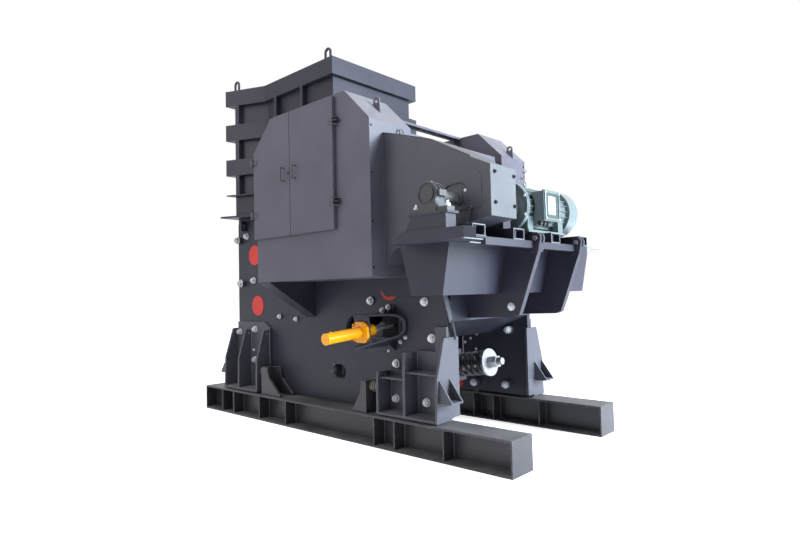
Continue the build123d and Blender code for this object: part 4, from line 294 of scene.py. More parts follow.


# Pale edge colour: bare steel where the paint is rubbed through, and a painted highlight along the
# edges.
BARE_AND_LIT_EDGE = (0.30, 0.30, 0.31)
LOOKS = {
    # Same paint as the guards, made much darker: painted shade on the side plates, which lie in
    # shade under the guards.
    "frame_paint": dict(color=(0.0235, 0.0230, 0.036), rubbed_and_lit=BARE_AND_LIT_EDGE, wear=0.35, dust=0.22),
    "guard_paint": dict(color=(0.088, 0.084, 0.108), rubbed_and_lit=BARE_AND_LIT_EDGE, wear=0.3, dust=0.3,
                        roughness=0.38, grain=0.08),
    "beam_paint": dict(color=(0.031, 0.028, 0.035), rubbed_and_lit=(0.34, 0.33, 0.34), wear=0.8, dust=0.4,
                       spread=0.28, roughness=0.38, shine=0.35, width=0.007),
    "motor_paint": dict(color=(0.095, 0.125, 0.13), rubbed_and_lit=(0.3, 0.33, 0.33), wear=0.3, dust=0.2,
                        roughness=0.3, shine=0.5, coat=0.3),
    "cylinder_paint": dict(color=(0.78, 0.31, 0.003), rubbed_and_lit=(0.5, 0.3, 0.04), wear=0.2, dust=0.05,
                           roughness=0.3, coat=0.2, spread=0.05),
    "cover_paint": dict(color=(0.56, 0.045, 0.036), rubbed_and_lit=(0.3, 0.06, 0.05), wear=0.2, dust=0.15,
                        roughness=0.45),
    "wear_steel": dict(color=(0.16, 0.145, 0.13), rubbed_and_lit=(0.4, 0.4, 0.4), wear=0.8, dust=0.6,
                       roughness=0.55, metallic=0.6, grain=0.5, fine=90),
    "machined_steel": dict(color=(0.3, 0.3, 0.31), rubbed_and_lit=(0.5, 0.5, 0.5), wear=0.4, dust=0.15,
                           roughness=0.34, metallic=0.7, grain=0.05),
    "spring_steel": dict(color=(0.02, 0.02, 0.023), rubbed_and_lit=(0.15, 0.15, 0.15), wear=0.5, dust=0.25,
                         roughness=0.3),
    "bolt_steel": dict(color=(0.58, 0.59, 0.62), rubbed_and_lit=(0.7, 0.7, 0.7), wear=0.4, dust=0.1,
                       roughness=0.42, metallic=0.45, width=0.002),
    "pad_rubber": dict(color=(0.03, 0.028, 0.026), rubbed_and_lit=(0.08, 0.07, 0.06), wear=0.3, dust=0.5,
                       roughness=0.75),
    "block_paint": dict(color=(0.022, 0.022, 0.028), rubbed_and_lit=BARE_AND_LIT_EDGE, wear=0.5, dust=0.2,
                        roughness=0.4, shine=0.4),
    # Lighter copy of the frame paint: painted light on the lit feet, whose broad pale edges are
    # painted highlights along the plate edges.
    "foot_paint": dict(color=(0.062, 0.062, 0.079), rubbed_and_lit=(0.45, 0.46, 0.48), wear=0.8, dust=0.35,
                       width=0.007),
    "belt_guard_paint": dict(color=(0.061, 0.061, 0.077), rubbed_and_lit=BARE_AND_LIT_EDGE, wear=0.3, dust=0.2,
                             roughness=0.4, grain=0.08),
    # Copy of the guard paint, less purple and greyer: painted reflection on the lit rear end plate
    # of the belt guard.
    "end_plate_paint": dict(color=(0.077, 0.082, 0.092), rubbed_and_lit=BARE_AND_LIT_EDGE, wear=0.3, dust=0.2,
                            roughness=0.38, grain=0.08),
    # Near-black paint with little reflection: painted shadow on parts that lie in shade, inside the
    # side window and at the near beam's end.
    "shade_paint": dict(color=(0.010, 0.010, 0.014), rubbed_and_lit=(0.1, 0.1, 0.1), wear=0.3, dust=0.0,
                        roughness=0.6, shine=0.06),
    "ring_steel": dict(color=(0.22, 0.19, 0.13), rubbed_and_lit=(0.5, 0.45, 0.35), wear=0.6, dust=0.3,
                       roughness=0.45, metallic=0.5),
    # Darker copy of the motor paint: painted shade on the terminal lid's flat field inside its lit
    # rim.
    "lid_paint": dict(color=(0.035, 0.055, 0.054), rubbed_and_lit=(0.2, 0.25, 0.25), wear=0.2, dust=0.1,
                      roughness=0.3, shine=0.5),
    "dark_steel": dict(color=(0.035, 0.034, 0.036), rubbed_and_lit=(0.25, 0.25, 0.25), wear=0.5, dust=0.2,
                       roughness=0.5, metallic=0.3),
    "edge_steel": dict(color=(0.13, 0.14, 0.16), rubbed_and_lit=(0.4, 0.4, 0.42), wear=0.4, dust=0.15,
                       roughness=0.45, shine=0.3),
    "screw_black": dict(color=(0.012, 0.012, 0.015), rubbed_and_lit=(0.2, 0.2, 0.2), wear=0.5, dust=0.1,
                        roughness=0.4, width=0.001),
    "plate_white": dict(color=(0.45, 0.47, 0.48), rubbed_and_lit=(0.4, 0.4, 0.4), wear=0.2, dust=0.1,
                        roughness=0.35, spread=0.04),
    "belt_rubber": dict(color=(0.02, 0.02, 0.02), rubbed_and_lit=(0.06, 0.06, 0.06), wear=0.3, dust=0.3,
                        roughness=0.7),
}
FINISHES = {name: coated(name, **look) for name, look in LOOKS.items()}

# The record's slot of each finish that isn't one itself, and the nodes with a finish of their own
# The wedges and toggle seat inside the side window take a near-black painted shadow, the feet a
# lighter copy of the frame paint as painted light, and the belt guard's end plate a retinted copy
# of the guard paint as painted reflection.
OWN_FINISH = {"adjusting_wedges": "shade_paint", "toggle_seat": "shade_paint",
              "toggle_plate": "dark_steel", "wedge_rods": "bolt_steel",
              "pillow_blocks": "block_paint", "front_feet": "foot_paint", "rear_feet": "foot_paint",
              "belt_guard": "belt_guard_paint", "belt_guard_lid": "block_paint",
              "belt_guard_end": "end_plate_paint"}


def dress_nodes():
    """Give every solid of the frame the finish that its record entry names, or its own."""
    for entry in frame["record"]["subparts"]:
        solid = frame["nodes"][entry["node"]]
        solid.data.materials.clear()
        finish = OWN_FINISH.get(entry["node"], entry["material_slot"])
        solid.data.materials.append(FINISHES[finish])


# Pieces in mesh code, in millimetres until they are finished

def mm(place):
    """A place in metres."""
    return tuple(part / 1000 for part in place)


def across(facing):
    """A direction at unit length, and two more at right angles to it and to each other."""
    ahead = Vector(facing).normalized()
    helper = Vector((0, 0, 1)) if abs(ahead.z) < 0.9 else Vector((1, 0, 0))
    first = ahead.cross(helper).normalized()
    return ahead, first, first.cross(ahead).normalized()


def circle(centre, facing, radius, sides):
    """Corners of a round outline that faces a direction."""
    _, first, second = across(facing)
    return [Vector(centre) + radius * (cos(2 * pi * k / sides) * first
                                       + sin(2 * pi * k / sides) * second) for k in range(sides)]


BEVEL_ABOVE = radians(35)
SMOOTH_BELOW = radians(32)


class Shape:
    """Closed forms gathered into one piece."""

    def __init__(self):
        self.mesh = bmesh.new()

    def skin(self, loops, closed=False):
        """Faces between loops of corners, capped at both ends unless the row closes on itself."""
        rows = [[self.mesh.verts.new(corner) for corner in loop] for loop in loops]
        pairs = list(zip(rows, rows[1:])) + ([(rows[-1], rows[0])] if closed else [])
        for low, high in pairs:
            for k in range(len(low)):
                n = (k + 1) % len(low)
                self.mesh.faces.new((low[k], low[n], high[n], high[k]))
        if not closed:
            self.mesh.faces.new(rows[0][::-1])
            self.mesh.faces.new(rows[-1])
        return self

    def prism(self, outline, step):
        """Flat outline moved along a step."""
        start = [Vector(p) for p in outline]
        return self.skin([start, [p + Vector(step) for p in start]])

    def block(self, x, y, z):
        """Square block between two places on each axis."""
        outline = [(x[0], y[0], z[0]), (x[1], y[0], z[0]), (x[1], y[1], z[0]), (x[0], y[1], z[0])]
        return self.prism(outline, (0, 0, z[1] - z[0]))

    def turned(self, start, facing, steps, sides=28):
        """Turned form: radii at distances from a start along a direction."""
        ahead = Vector(facing).normalized()
        return self.skin([circle(Vector(start) + ahead * run, facing, radius, sides)
                          for run, radius in steps])

    def washer(self, centre, facing, outer, inner, thickness, sides=28):
        """Flat ring with a hole, standing on its centre."""
        ahead = Vector(facing).normalized()
        top = Vector(centre) + ahead * thickness
        return self.skin([circle(centre, facing, outer, sides), circle(top, facing, outer, sides),
                          circle(top, facing, inner, sides), circle(centre, facing, inner, sides)],
                         closed=True)

    def hoop(self, centre, facing, radius, wire, sides=8, turns=28):
        """Round bar bent to a full ring."""
        ahead, first, second = across(facing)
        loops = []
        for k in range(turns):
            angle = 2 * pi * k / turns
            out = cos(angle) * first + sin(angle) * second
            loops.append([Vector(centre) + out * radius + wire * (
                cos(2 * pi * n / sides) * out + sin(2 * pi * n / sides) * ahead)
                          for n in range(sides)])
        return self.skin(loops, closed=True)

    def bar(self, points, radius, sides=10):
        """Round bar through a row of points."""
        row = [Vector(p) for p in points]
        loops = []
        for k, place in enumerate(row):
            before = (place - row[k - 1]).normalized() if k else (row[1] - place).normalized()
            after = (row[k + 1] - place).normalized() if k + 1 < len(row) else before
            loops.append(circle(place, before + after, radius, sides))
        return self.skin(loops)

    def mirrored(self):
        """Add the same forms on the far side of the machine."""
        copy = bmesh.ops.duplicate(self.mesh, geom=self.mesh.verts[:] + self.mesh.edges[:]
                                   + self.mesh.faces[:])["geom"]
        for part in copy:
            if isinstance(part, bmesh.types.BMVert):
                part.co.y = -part.co.y
        return self

    def done(self, name, finish, body=MACHINE, edge=1.5, replaced=()):
        """Finish the piece: outward faces, broken edges, one material, riding on its body."""
        bmesh.ops.recalc_face_normals(self.mesh, faces=self.mesh.faces)
        sharp = [e for e in self.mesh.edges
                 if len(e.link_faces) == 2 and e.calc_face_angle(0) > BEVEL_ABOVE]
        if edge:
            bmesh.ops.bevel(self.mesh, geom=sharp, offset=edge, segments=1, affect="EDGES",
                            clamp_overlap=True)
        bmesh.ops.scale(self.mesh, vec=(0.001, 0.001, 0.001), verts=self.mesh.verts)
        data = bpy.data.meshes.new(name)
        self.mesh.to_mesh(data)
        self.mesh.free()
        return piece(name, data, finish, body, replaced)


def piece(name, data, finish, body=MACHINE, replaced=()):
    """Finished mesh in its place, with its material, riding on its body."""
    data.materials.clear()
    data.materials.append(FINISHES[finish])
    data.polygons.foreach_set("use_smooth", [True] * len(data.polygons))
    data.set_sharp_from_angle(angle=SMOOTH_BELOW)
    made = bpy.data.objects.new(name, data)
    bpy.context.collection.objects.link(made)
    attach(made, body)
    if replaced:
        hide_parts(*replaced)
    return made


# Trees that make what repeats or follows a path

BOLT_SPIN = 1.05
CROWN_RADIUS_SHARE = 0.84
CROWN_HEIGHT_SHARE = 0.1


def new_tree(name, inputs):
    """Empty tree that takes a mesh and named inputs, as (tree, its inputs, its output node)."""
    tree = bpy.data.node_groups.new(name, "GeometryNodeTree")
    tree.interface.new_socket(name="Geometry", in_out="INPUT", socket_type="NodeSocketGeometry")
    for label, kind, value in inputs:
        socket = tree.interface.new_socket(name=label, in_out="INPUT",
                                           socket_type="NodeSocket" + kind)
        if value is not None:
            socket.default_value = value
    tree.interface.new_socket(name="Geometry", in_out="OUTPUT", socket_type="NodeSocketGeometry")
    return tree, put(tree, "NodeGroupInput").outputs, put(tree, "NodeGroupOutput")


def standing(tree, sides, radius, height, base):
    """Upright round or many-sided block on a base height; gives its mesh and its top height."""
    drum = put(tree, "GeometryNodeMeshCylinder", Vertices=sides, Radius=radius, Depth=height)
    middle = math_node(tree, "ADD", base, math_node(tree, "MULTIPLY", height, 0.5))
    lift = put(tree, "ShaderNodeCombineXYZ", Z=middle)
    moved = put(tree, "GeometryNodeTransform", Geometry=drum.outputs["Mesh"],
                Translation=lift.outputs[0])
    return moved.outputs[0], math_node(tree, "ADD", base, height)


def named(tree, label, kind):
    """Value that each point carries under a name."""
    return put(tree, "GeometryNodeInputNamedAttribute", {"data_type": kind},
               Name=label).outputs["Attribute"]


def finish_tree(tree, made, value, sink):
    """Make the copies real, give them their material and end the tree."""
    real = put(tree, "GeometryNodeRealizeInstances", Geometry=made)
    dressed = put(tree, "GeometryNodeSetMaterial", Geometry=real.outputs[0],
                  Material=value["Finish"])
    tree.links.new(dressed.outputs[0], sink.inputs[0])


def on_points(tree, shape, value, spin):
    """Copies of a shape on the points, each turned to its facing and given its size."""
    turned = put(tree, "FunctionNodeAlignRotationToVector", {"axis": "Z"},
                 Vector=named(tree, "facing", "FLOAT_VECTOR"))
    chance = put(tree, "FunctionNodeRandomValue", {"data_type": "FLOAT"}, Min=0.0, Max=spin,
                 Seed=7)
    angle = next(s for s in chance.outputs if s.enabled)
    about = put(tree, "ShaderNodeCombineXYZ", Z=angle)
    euler = put(tree, "FunctionNodeEulerToRotation", Euler=about.outputs[0])
    spun = put(tree, "FunctionNodeRotateRotation", {"rotation_space": "LOCAL"},
               Rotation=turned.outputs[0], Rotate_By=euler.outputs[0])
    return put(tree, "GeometryNodeInstanceOnPoints", Points=value["Geometry"],
               Instance=shape, Rotation=spun.outputs[0],
               Scale=named(tree, "size", "FLOAT")).outputs[0]


def bolt_tree():
    """Bolt with washer, head, crown and thread end on every point."""
    tree, value, sink = new_tree("machine_bolts", (
        ("Sides", "Int", 6), ("Head Radius", "Float", 0.034), ("Head Height", "Float", 0.026),
        ("Washer Radius", "Float", 0.042), ("Washer Height", "Float", 0.007),
        ("Stud Radius", "Float", 0.018), ("Stud Height", "Float", 0.012),
        ("Finish", "Material", None)))
    washer, top = standing(tree, 24, value["Washer Radius"], value["Washer Height"], 0.0)
    head, top = standing(tree, value["Sides"], value["Head Radius"], value["Head Height"], top)
    rim = math_node(tree, "MULTIPLY", value["Head Radius"], CROWN_RADIUS_SHARE)
    rise = math_node(tree, "MULTIPLY", value["Head Height"], CROWN_HEIGHT_SHARE)
    crown, top = standing(tree, 18, rim, rise, top)
    stud, top = standing(tree, 12, value["Stud Radius"], value["Stud Height"], top)
    joined = put(tree, "GeometryNodeJoinGeometry")
    for part in (washer, head, crown, stud):
        tree.links.new(part, joined.inputs[0])
    finish_tree(tree, on_points(tree, joined.outputs[0], value, BOLT_SPIN), value, sink)
    return tree


def run_tree():
    """Rippled round run along every edge path: weld bead or screw thread."""
    tree, value, sink = new_tree("rippled_runs", (
        ("Radius", "Float", 0.004), ("Step", "Float", 0.006), ("Ripple", "Float", 0.25),
        ("Sides", "Int", 6), ("Finish", "Material", None)))
    path = put(tree, "GeometryNodeMeshToCurve", Mesh=value["Geometry"])
    even = put(tree, "GeometryNodeResampleCurve", {"mode": "LENGTH"}, Curve=path.outputs[0],
               Length=value["Step"])
    index = put(tree, "GeometryNodeInputIndex").outputs[0]
    every_other = math_node(tree, "MODULO", index, 2.0)
    swell = math_node(tree, "ADD", 1.0, math_node(tree, "MULTIPLY", every_other, value["Ripple"]))
    thick = put(tree, "GeometryNodeSetCurveRadius", Curve=even.outputs[0], Radius=swell)
    ring = put(tree, "GeometryNodeCurvePrimitiveCircle", Resolution=value["Sides"],
               Radius=value["Radius"])
    tube = put(tree, "GeometryNodeCurveToMesh", Curve=thick.outputs[0],
               Profile_Curve=ring.outputs[0], Fill_Caps=True)
    if "Scale" in tube.inputs:
        tree.links.new(swell, tube.inputs["Scale"])
    finish_tree(tree, tube.outputs[0], value, sink)
    return tree


def grille_tree():
    """Round grille of wire rings and spokes on every point."""
    tree, value, sink = new_tree("ring_grilles", (
        ("Rings", "Int", 9), ("Inner Radius", "Float", 0.04), ("Spacing", "Float", 0.02),
        ("Wire Radius", "Float", 0.003), ("Spokes", "Int", 6), ("Finish", "Material", None)))
    index = put(tree, "GeometryNodeInputIndex").outputs[0]
    wire = put(tree, "GeometryNodeCurvePrimitiveCircle", Resolution=6, Radius=value["Wire Radius"])
    hoop = put(tree, "GeometryNodeCurvePrimitiveCircle", Resolution=48, Radius=1.0)
    reach = math_node(tree, "ADD", value["Inner Radius"],
                      math_node(tree, "MULTIPLY", index, value["Spacing"]))
    scale = put(tree, "ShaderNodeCombineXYZ", X=reach, Y=reach, Z=1.0)
    rings = put(tree, "GeometryNodeInstanceOnPoints",
                Points=put(tree, "GeometryNodeMeshLine", Count=value["Rings"],
                           Offset=(0, 0, 0)).outputs[0],
                Instance=hoop.outputs[0], Scale=scale.outputs[0])
    outer = math_node(tree, "ADD", value["Inner Radius"],
                      math_node(tree, "MULTIPLY", value["Rings"], value["Spacing"]))
    line = put(tree, "GeometryNodeCurvePrimitiveLine",
               Start=put(tree, "ShaderNodeCombineXYZ", X=value["Inner Radius"]).outputs[0],
               End=put(tree, "ShaderNodeCombineXYZ", X=outer).outputs[0])
    turn = math_node(tree, "MULTIPLY", index, math_node(tree, "DIVIDE", 2 * pi, value["Spokes"]))
    spin = put(tree, "FunctionNodeEulerToRotation",
               Euler=put(tree, "ShaderNodeCombineXYZ", Z=turn).outputs[0])
    spokes = put(tree, "GeometryNodeInstanceOnPoints",
                 Points=put(tree, "GeometryNodeMeshLine", Count=value["Spokes"],
                            Offset=(0, 0, 0)).outputs[0],
                 Instance=line.outputs[0], Rotation=spin.outputs[0])
    joined = put(tree, "GeometryNodeJoinGeometry")
    for part in (rings, spokes):
        tree.links.new(part.outputs[0], joined.inputs[0])
    real = put(tree, "GeometryNodeRealizeInstances", Geometry=joined.outputs[0])
    solid = put(tree, "GeometryNodeCurveToMesh", Curve=real.outputs[0],
                Profile_Curve=wire.outputs[0], Fill_Caps=True)
    finish_tree(tree, on_points(tree, solid.outputs[0], value, 0.0), value, sink)
    return tree


def grown(name, tree, data, finish, body=MACHINE, replaced=(), **inputs):
    """Run a tree on a mesh once, and keep what it makes as a plain piece."""
    seed = bpy.data.objects.new(name + "_seed", data)
    bpy.context.collection.objects.link(seed)
    modifier = seed.modifiers.new("tree", "NODES")
    modifier.node_group = tree
    inputs["Finish"] = FINISHES[finish]
    for item in tree.interface.items_tree:
        label = item.name.replace(" ", "_")
        if item.in_out == "INPUT" and label in inputs:
            modifier[item.identifier] = inputs[label]
    depsgraph = bpy.context.evaluated_depsgraph_get()
    made = bpy.data.meshes.new_from_object(seed.evaluated_get(depsgraph))
    bpy.data.objects.remove(seed)
    return piece(name, made, finish, body, replaced)


def bolts(name, rows, finish, head, washer, stud, replaced=()):
    """Bolts on (place, facing, size) rows; head, washer and stud are (radius, height) pairs."""
    sizes = {}
    for part, pair in (("Head", head), ("Washer", washer), ("Stud", stud)):
        sizes[part + "_Radius"], sizes[part + "_Height"] = mm(pair)
    grown(name, BOLTS, points_mesh(name + "_places", rows), finish, replaced=replaced, **sizes)


def points_mesh(name, places):
    """Points that carry a facing and a size, from (place, facing, size) rows."""
    data = bpy.data.meshes.new(name)
    data.from_pydata([mm(place) for place, _, _ in places], [], [])
    data.attributes.new("facing", "FLOAT_VECTOR", "POINT")
    data.attributes.new("size", "FLOAT", "POINT")
    for k, (_, direction, share) in enumerate(places):
        data.attributes["facing"].data[k].vector = direction
        data.attributes["size"].data[k].value = share
    return data


def paths_mesh(name, paths):
    """Edge paths through rows of places."""
    corners, edges = [], []
    for row in paths:
        edges += [(len(corners) + k, len(corners) + k + 1) for k in range(len(row) - 1)]
        corners += [mm(place) for place in row]
    data = bpy.data.meshes.new(name)
    data.from_pydata(corners, edges, [])
    return data


def both_sides(places):
    """Rows of (place, facing, size) and their mirror images on the far side."""
    far = [((x, -y, z), (a, -b, c), size) for (x, y, z), (a, b, c), size in places]
    return list(places) + far


BOLTS = bolt_tree()
RUNS = run_tree()
GRILLES = grille_tree()
NEAR, FAR, REAR, UP, DOWN = (0, -1, 0), (0, 1, 0), (1, 0, 0), (0, 0, 1), (0, 0, -1)

# Faces and axes that several pieces share. A positive Y holds on both sides, a negative one
# on the near side alone.

SHAFT_X, SHAFT_Z = 2160, 2390
PLATE_Y, INSIDE_Y = 785, 725
FOOT_Y = 810
FRONT_X = -2060
GUARD_REAR_X, GUARD_FACE_Y = 1290, 1430
DOOR_FACE_Y = 1470
BELT_FACE_Y = -1250
MOTOR_FRONT_Y = -440


def round_shaft(radius, degrees, y):
    """Place at an angle round the axis that the countershaft and the motor share."""
    turn = radians(degrees)
    return (SHAFT_X + radius * cos(turn), y, SHAFT_Z + radius * sin(turn))


# Fasteners of the frame, the feet and the guards

RAISED_BOLT = (617, 1501)
BIG_BOLTS = ((-1850, 2417), (-1690, 1795), RAISED_BOLT, (1385, 1484), (1470, 1118), (976, 835))
SMALL_BOLTS = ((-1078, 1308), (-729, 1279), (888, 1430), (802, 1397))
EDGE_BOLTS = ((-2008, 2367), (-1939, 1762))
FOOT_BOLTS = ((-2010, 1084), (-1625, 1129), (-1640, 716), (1405, 479), (985, 475))
INNER_BOLTS = ((1440, 1109), (1384, 458), (927, 445))
BOSS, LOW_BOSS, TALL_BOSS = 14, 18, 48
SLEEVE = 62


def frame_fasteners():
    """Bolts with washers and thread ends through the side plates, their bosses and sleeves."""
    rows = [((x, -PLATE_Y - (BOSS if (x, z) == RAISED_BOLT else 0), z), NEAR, 1.0)
            for x, z in BIG_BOLTS]
    rows += [((x, -PLATE_Y - LOW_BOSS, z), NEAR, 0.68) for x, z in SMALL_BOLTS]
    rows += [((x, -FOOT_Y, z), NEAR, 1.0) for x, z in FOOT_BOLTS]
    rows += [((x, -INSIDE_Y + SLEEVE, z), FAR, 1.0) for x, z in INNER_BOLTS]
    rows += [((x, -PLATE_Y - TALL_BOSS, z), NEAR, 1.12) for x, z in EDGE_BOLTS]
    bolts("frame_bolts_with_washers", both_sides(rows), "bolt_steel", head=(37, 27),
          washer=(45, 7), stud=(20, 14), replaced=("frame_bolts",))
    bosses = Shape()
    for places, foot, height in (((RAISED_BOLT,), 50, BOSS), (EDGE_BOLTS, 44, TALL_BOSS),
                                 (SMALL_BOLTS, 34, LOW_BOSS)):
        for x, z in places:
            bosses.turned((x, -PLATE_Y, z), NEAR, ((0, foot), (height, foot - 2)))
    bosses.mirrored().done("bolt_bosses", "frame_paint")
    sleeves = Shape()
    for x, z in INNER_BOLTS:
        sleeves.turned((x, -INSIDE_Y, z), FAR, ((0, 50), (SLEEVE, 46)))
    sleeves.mirrored().done("bolt_sleeves", "foot_paint")


END_PLATE_X = 2526.5
END_PLATE_SCREWS = ((-1189, 2580), (-891, 2573), (-1188, 2321), (-892, 2311))
GUARD_EDGE_Y = 1405
GUARD_EDGE_HEIGHTS = (3199, 2741, 2273, 1830)
BRACKET_BOLTS = ((1111, 1115, 1.0), (1040, 1066, 1.0), (862, 964, 0.7))
INNER_SCREWS = ((948, 1042), (853, 986), (768, 935), (931, 855))


def small_fasteners():
    """Dark screws of the guards' rear faces, and small bolts of brackets, feet and arms."""
    end = [((END_PLATE_X, y, z), REAR, 1.0) for y, z in END_PLATE_SCREWS]
    edge = [((GUARD_REAR_X, y, z), REAR, 0.62) for y in (-GUARD_EDGE_Y, GUARD_EDGE_Y)
            for z in GUARD_EDGE_HEIGHTS]
    bolts("guard_screws", end + edge, "screw_black", head=(14, 12), washer=(19, 3),
          stud=(7, 6))
    rows = [((x, -PLATE_Y, z), NEAR, size) for x, z, size in BRACKET_BOLTS]
    rows += [((-1670, -FOOT_Y, 847), NEAR, 0.9), ((2191, -450, 1424), NEAR, 1.7)]
    rows += [((x, -INSIDE_Y, z), FAR, 0.8) for x, z in INNER_SCREWS]
    bolts("small_bolts", both_sides(rows), "bolt_steel", head=(17, 13), washer=(23, 4),
          stud=(8, 7))


BLOCK_FOOT_Z = 2273


def bearing_fasteners():
    """Base bolts of the two bearing blocks."""
    rows = [((x, y, BLOCK_FOOT_Z), UP, 1.0) for y in (-1580, -890) for x in (1995, 2325)]
    bolts("block_bolts", rows, "bolt_steel", head=(24, 20), washer=(30, 5),
          stud=(13, 22))


# Guards

COVER_OUTLINE = ((1925, 2262), (2436, 2290), (2436, 2560), (2330, 2655), (1925, 2655))
COVER_CORNER, COVER_HOLE, COVER_THICKNESS = 42, 150, 4
SEAL_SCREW_CIRCLE = 118


def belt_guard_trim():
    """Cover plate round the shaft on the belt guard's near face, and the seal with its screws."""
    outline = rounded(COVER_OUTLINE, COVER_CORNER)
    cover = Shape().skin(ringed(outline, (SHAFT_X, SHAFT_Z), COVER_HOLE,
                                BELT_FACE_Y - COVER_THICKNESS, BELT_FACE_Y), closed=True)
    cover.done("belt_cover_plate", "belt_guard_paint", edge=1)
    disc = Shape().washer((SHAFT_X, BELT_FACE_Y + 16, SHAFT_Z), NEAR, 139, 52, 8, 40)
    disc.washer((SHAFT_X, BELT_FACE_Y + 8, SHAFT_Z), NEAR, 74, 50, 12, 32)
    disc.done("shaft_seal", "belt_guard_paint")
    screws = [(round_shaft(SEAL_SCREW_CIRCLE, degrees, BELT_FACE_Y + 8), NEAR, 1.0)
              for degrees in (30, 150, 270)]
    bolts("seal_screws", screws, "bolt_steel", head=(12, 8), washer=(15, 2),
          stud=(5, 3))


def rounded(points, radius, steps=5):
    """Outline with its corners rounded, as (x, z) pairs."""
    made = []
    for k, place in enumerate(points):
        here = Vector(place)
        before = (Vector(points[k - 1]) - here).normalized()
        after = (Vector(points[(k + 1) % len(points)]) - here).normalized()
        start = here + before * radius
        end = here + after * radius
        for n in range(steps + 1):
            t = n / steps
            made.append((1 - t) ** 2 * start + 2 * t * (1 - t) * here + t * t * end)
    return made


def ringed(outline, centre, hole, y0, y1):
    """Loops of a plate with a round hole: outer edge and hole edge, front and back."""
    middle = Vector(centre)
    inner = [middle + (p - middle).normalized() * hole for p in outline]
    loops = [outline, inner]
    front = [[Vector((p.x, y0, p.y)) for p in loop] for loop in loops]
    back = [[Vector((p.x, y1, p.y)) for p in loop] for loop in loops]
    return [front[0], front[1], back[1], back[0]]


LOCK_Z = 2917


def door_lock(body, x):
    """Round lock with its slot on one door leaf."""
    lock = Shape()
    lock.turned((x, -DOOR_FACE_Y, LOCK_Z), NEAR, ((0, 13), (5, 13), (7, 10), (9, 10)), 20)
    lock.block((x - 2, x + 2), (-DOOR_FACE_Y - 11, -DOOR_FACE_Y - 8), (LOCK_Z - 8, LOCK_Z + 8))
    lock.done(body + "_lock", "dark_steel", body=body, edge=0.6)


HINGE_HEIGHTS = (3333, 2512)
STRAP_TIP_Y, STRAP_ROOT_Y = 1480, 1486


def hinge_straps():
    """Pointed straps beside the rear door's knuckles, one on the leaf and one on the guard."""
    for body, root, tip, face in ((REAR_DOOR, 798, 748, DOOR_FACE_Y),
                                  (MACHINE, 834, 884, GUARD_FACE_Y)):
        straps = Shape()
        for z in HINGE_HEIGHTS:
            outline = [(root, -STRAP_ROOT_Y, z - 7), (tip, -STRAP_TIP_Y, z - 3),
                       (tip, -STRAP_TIP_Y, z + 3), (root, -STRAP_ROOT_Y, z + 7)]
            straps.prism(outline, (0, STRAP_TIP_Y - face, 0))
        straps.done(body + "_hinge_straps", "frame_paint", body=body, edge=0.8)


def stays():
    """Flat stay beside the belt guard, and the strap with its screw from the tray to the foot."""
    flat = Shape()
    flat.prism([(2258, -1276, 2136), (2284, -1276, 2136), (2342, -1276, 2300), (2318, -1276, 2310)],
               (0, 7, 0))
    flat.turned((2322, -1276, 2296), FAR, ((0, 10), (26, 10)), 14)
    flat.done("belt_guard_stay", "foot_paint", edge=0.8)
    strap = Shape()
    strap.prism([(1694, -880, 1560), (1694, -822, 1560), (1694, -738, 1282), (1694, -790, 1282)],
                (12, 0, 0))
    strap.turned((1700, -704, 1112), (0, -0.15, 1), ((0, 24), (30, 24)), 6)
    strap.done("tray_strap", "foot_paint", edge=1)
    path = [(1700, -704, 1118), (1700, -764, 1300)]
    grown("strap_screw", RUNS, paths_mesh("strap_screw_path", [path]), "dark_steel",
          Radius=0.017, Step=0.007, Ripple=0.22, Sides=12)


def guard_hooks():
    """Small hooks on the rear of the far guard."""
    hooks = Shape()
    x = GUARD_REAR_X
    for y, z in ((1395, 3118), (1340, 3031)):
        hooks.bar([(x, y, z), (x + 32, y, z), (x + 46, y, z + 12), (x + 46, y, z + 30)], 6)
    hooks.done("guard_hooks", "frame_paint", edge=0)


# Buffers, lifting gear and bearing

BUFFER_Y, BUFFER_Z = -905, 600
BUFFER_RING_RADIUS, BUFFER_RING_WIRE, BUFFER_RING_STEP = 55, 6, 25


def buffer_rings():
    """Pale spring rings around the buffers between the feet and the beam stoppers."""
    rings = Shape()
    for x0, x1 in ((-1290, -1200), (746, 880)):
        count = int((x1 - x0) / BUFFER_RING_STEP)
        for k in range(count + 1):
            rings.hoop((x0 + (x1 - x0) * k / count, BUFFER_Y, BUFFER_Z), REAR,
                       BUFFER_RING_RADIUS, BUFFER_RING_WIRE)
    rings.mirrored().done("buffer_rings", "ring_steel", edge=0)


def lifting_shackles():
    """Shackle bow with its pin in the near lug of the side plate, and its far twin."""
    x, y, z = -1880, -830, 2565
    bend = [(x + 34 * cos(pi + pi * k / 8), y, z - 46 + 40 * sin(pi + pi * k / 8))
            for k in range(9)]
    bow = Shape()
    bow.bar([(x - 30, y, z)] + bend + [(x + 30, y, z)], 9)
    bow.bar([(x - 48, y, z), (x + 48, y, z)], 10)
    for side in (-1, 1):
        bow.turned((x + side * 30 - 9, y, z), REAR, ((0, 17), (18, 17)), 16)
    bow.turned((x + 44, y, z), REAR, ((0, 15), (16, 15)), 6)
    bow.mirrored().done("lifting_shackles", "dark_steel", edge=0)


CAP_RIB_ARC = 95


def pillow_block_trim():
    """Arched cap ribs and grease nipple of the near bearing block."""
    trim = Shape()
    for y in (-1630, -1578, -1530):
        trim.bar([round_shaft(CAP_RIB_ARC, degrees, y) for degrees in range(-30, 211, 10)], 9, 8)
    trim.turned((SHAFT_X, -1580, SHAFT_Z + 96), UP, ((0, 11), (8, 11), (10, 6), (24, 5)), 12)
    trim.done("block_cap_trim", "block_paint", edge=1)


# Motor

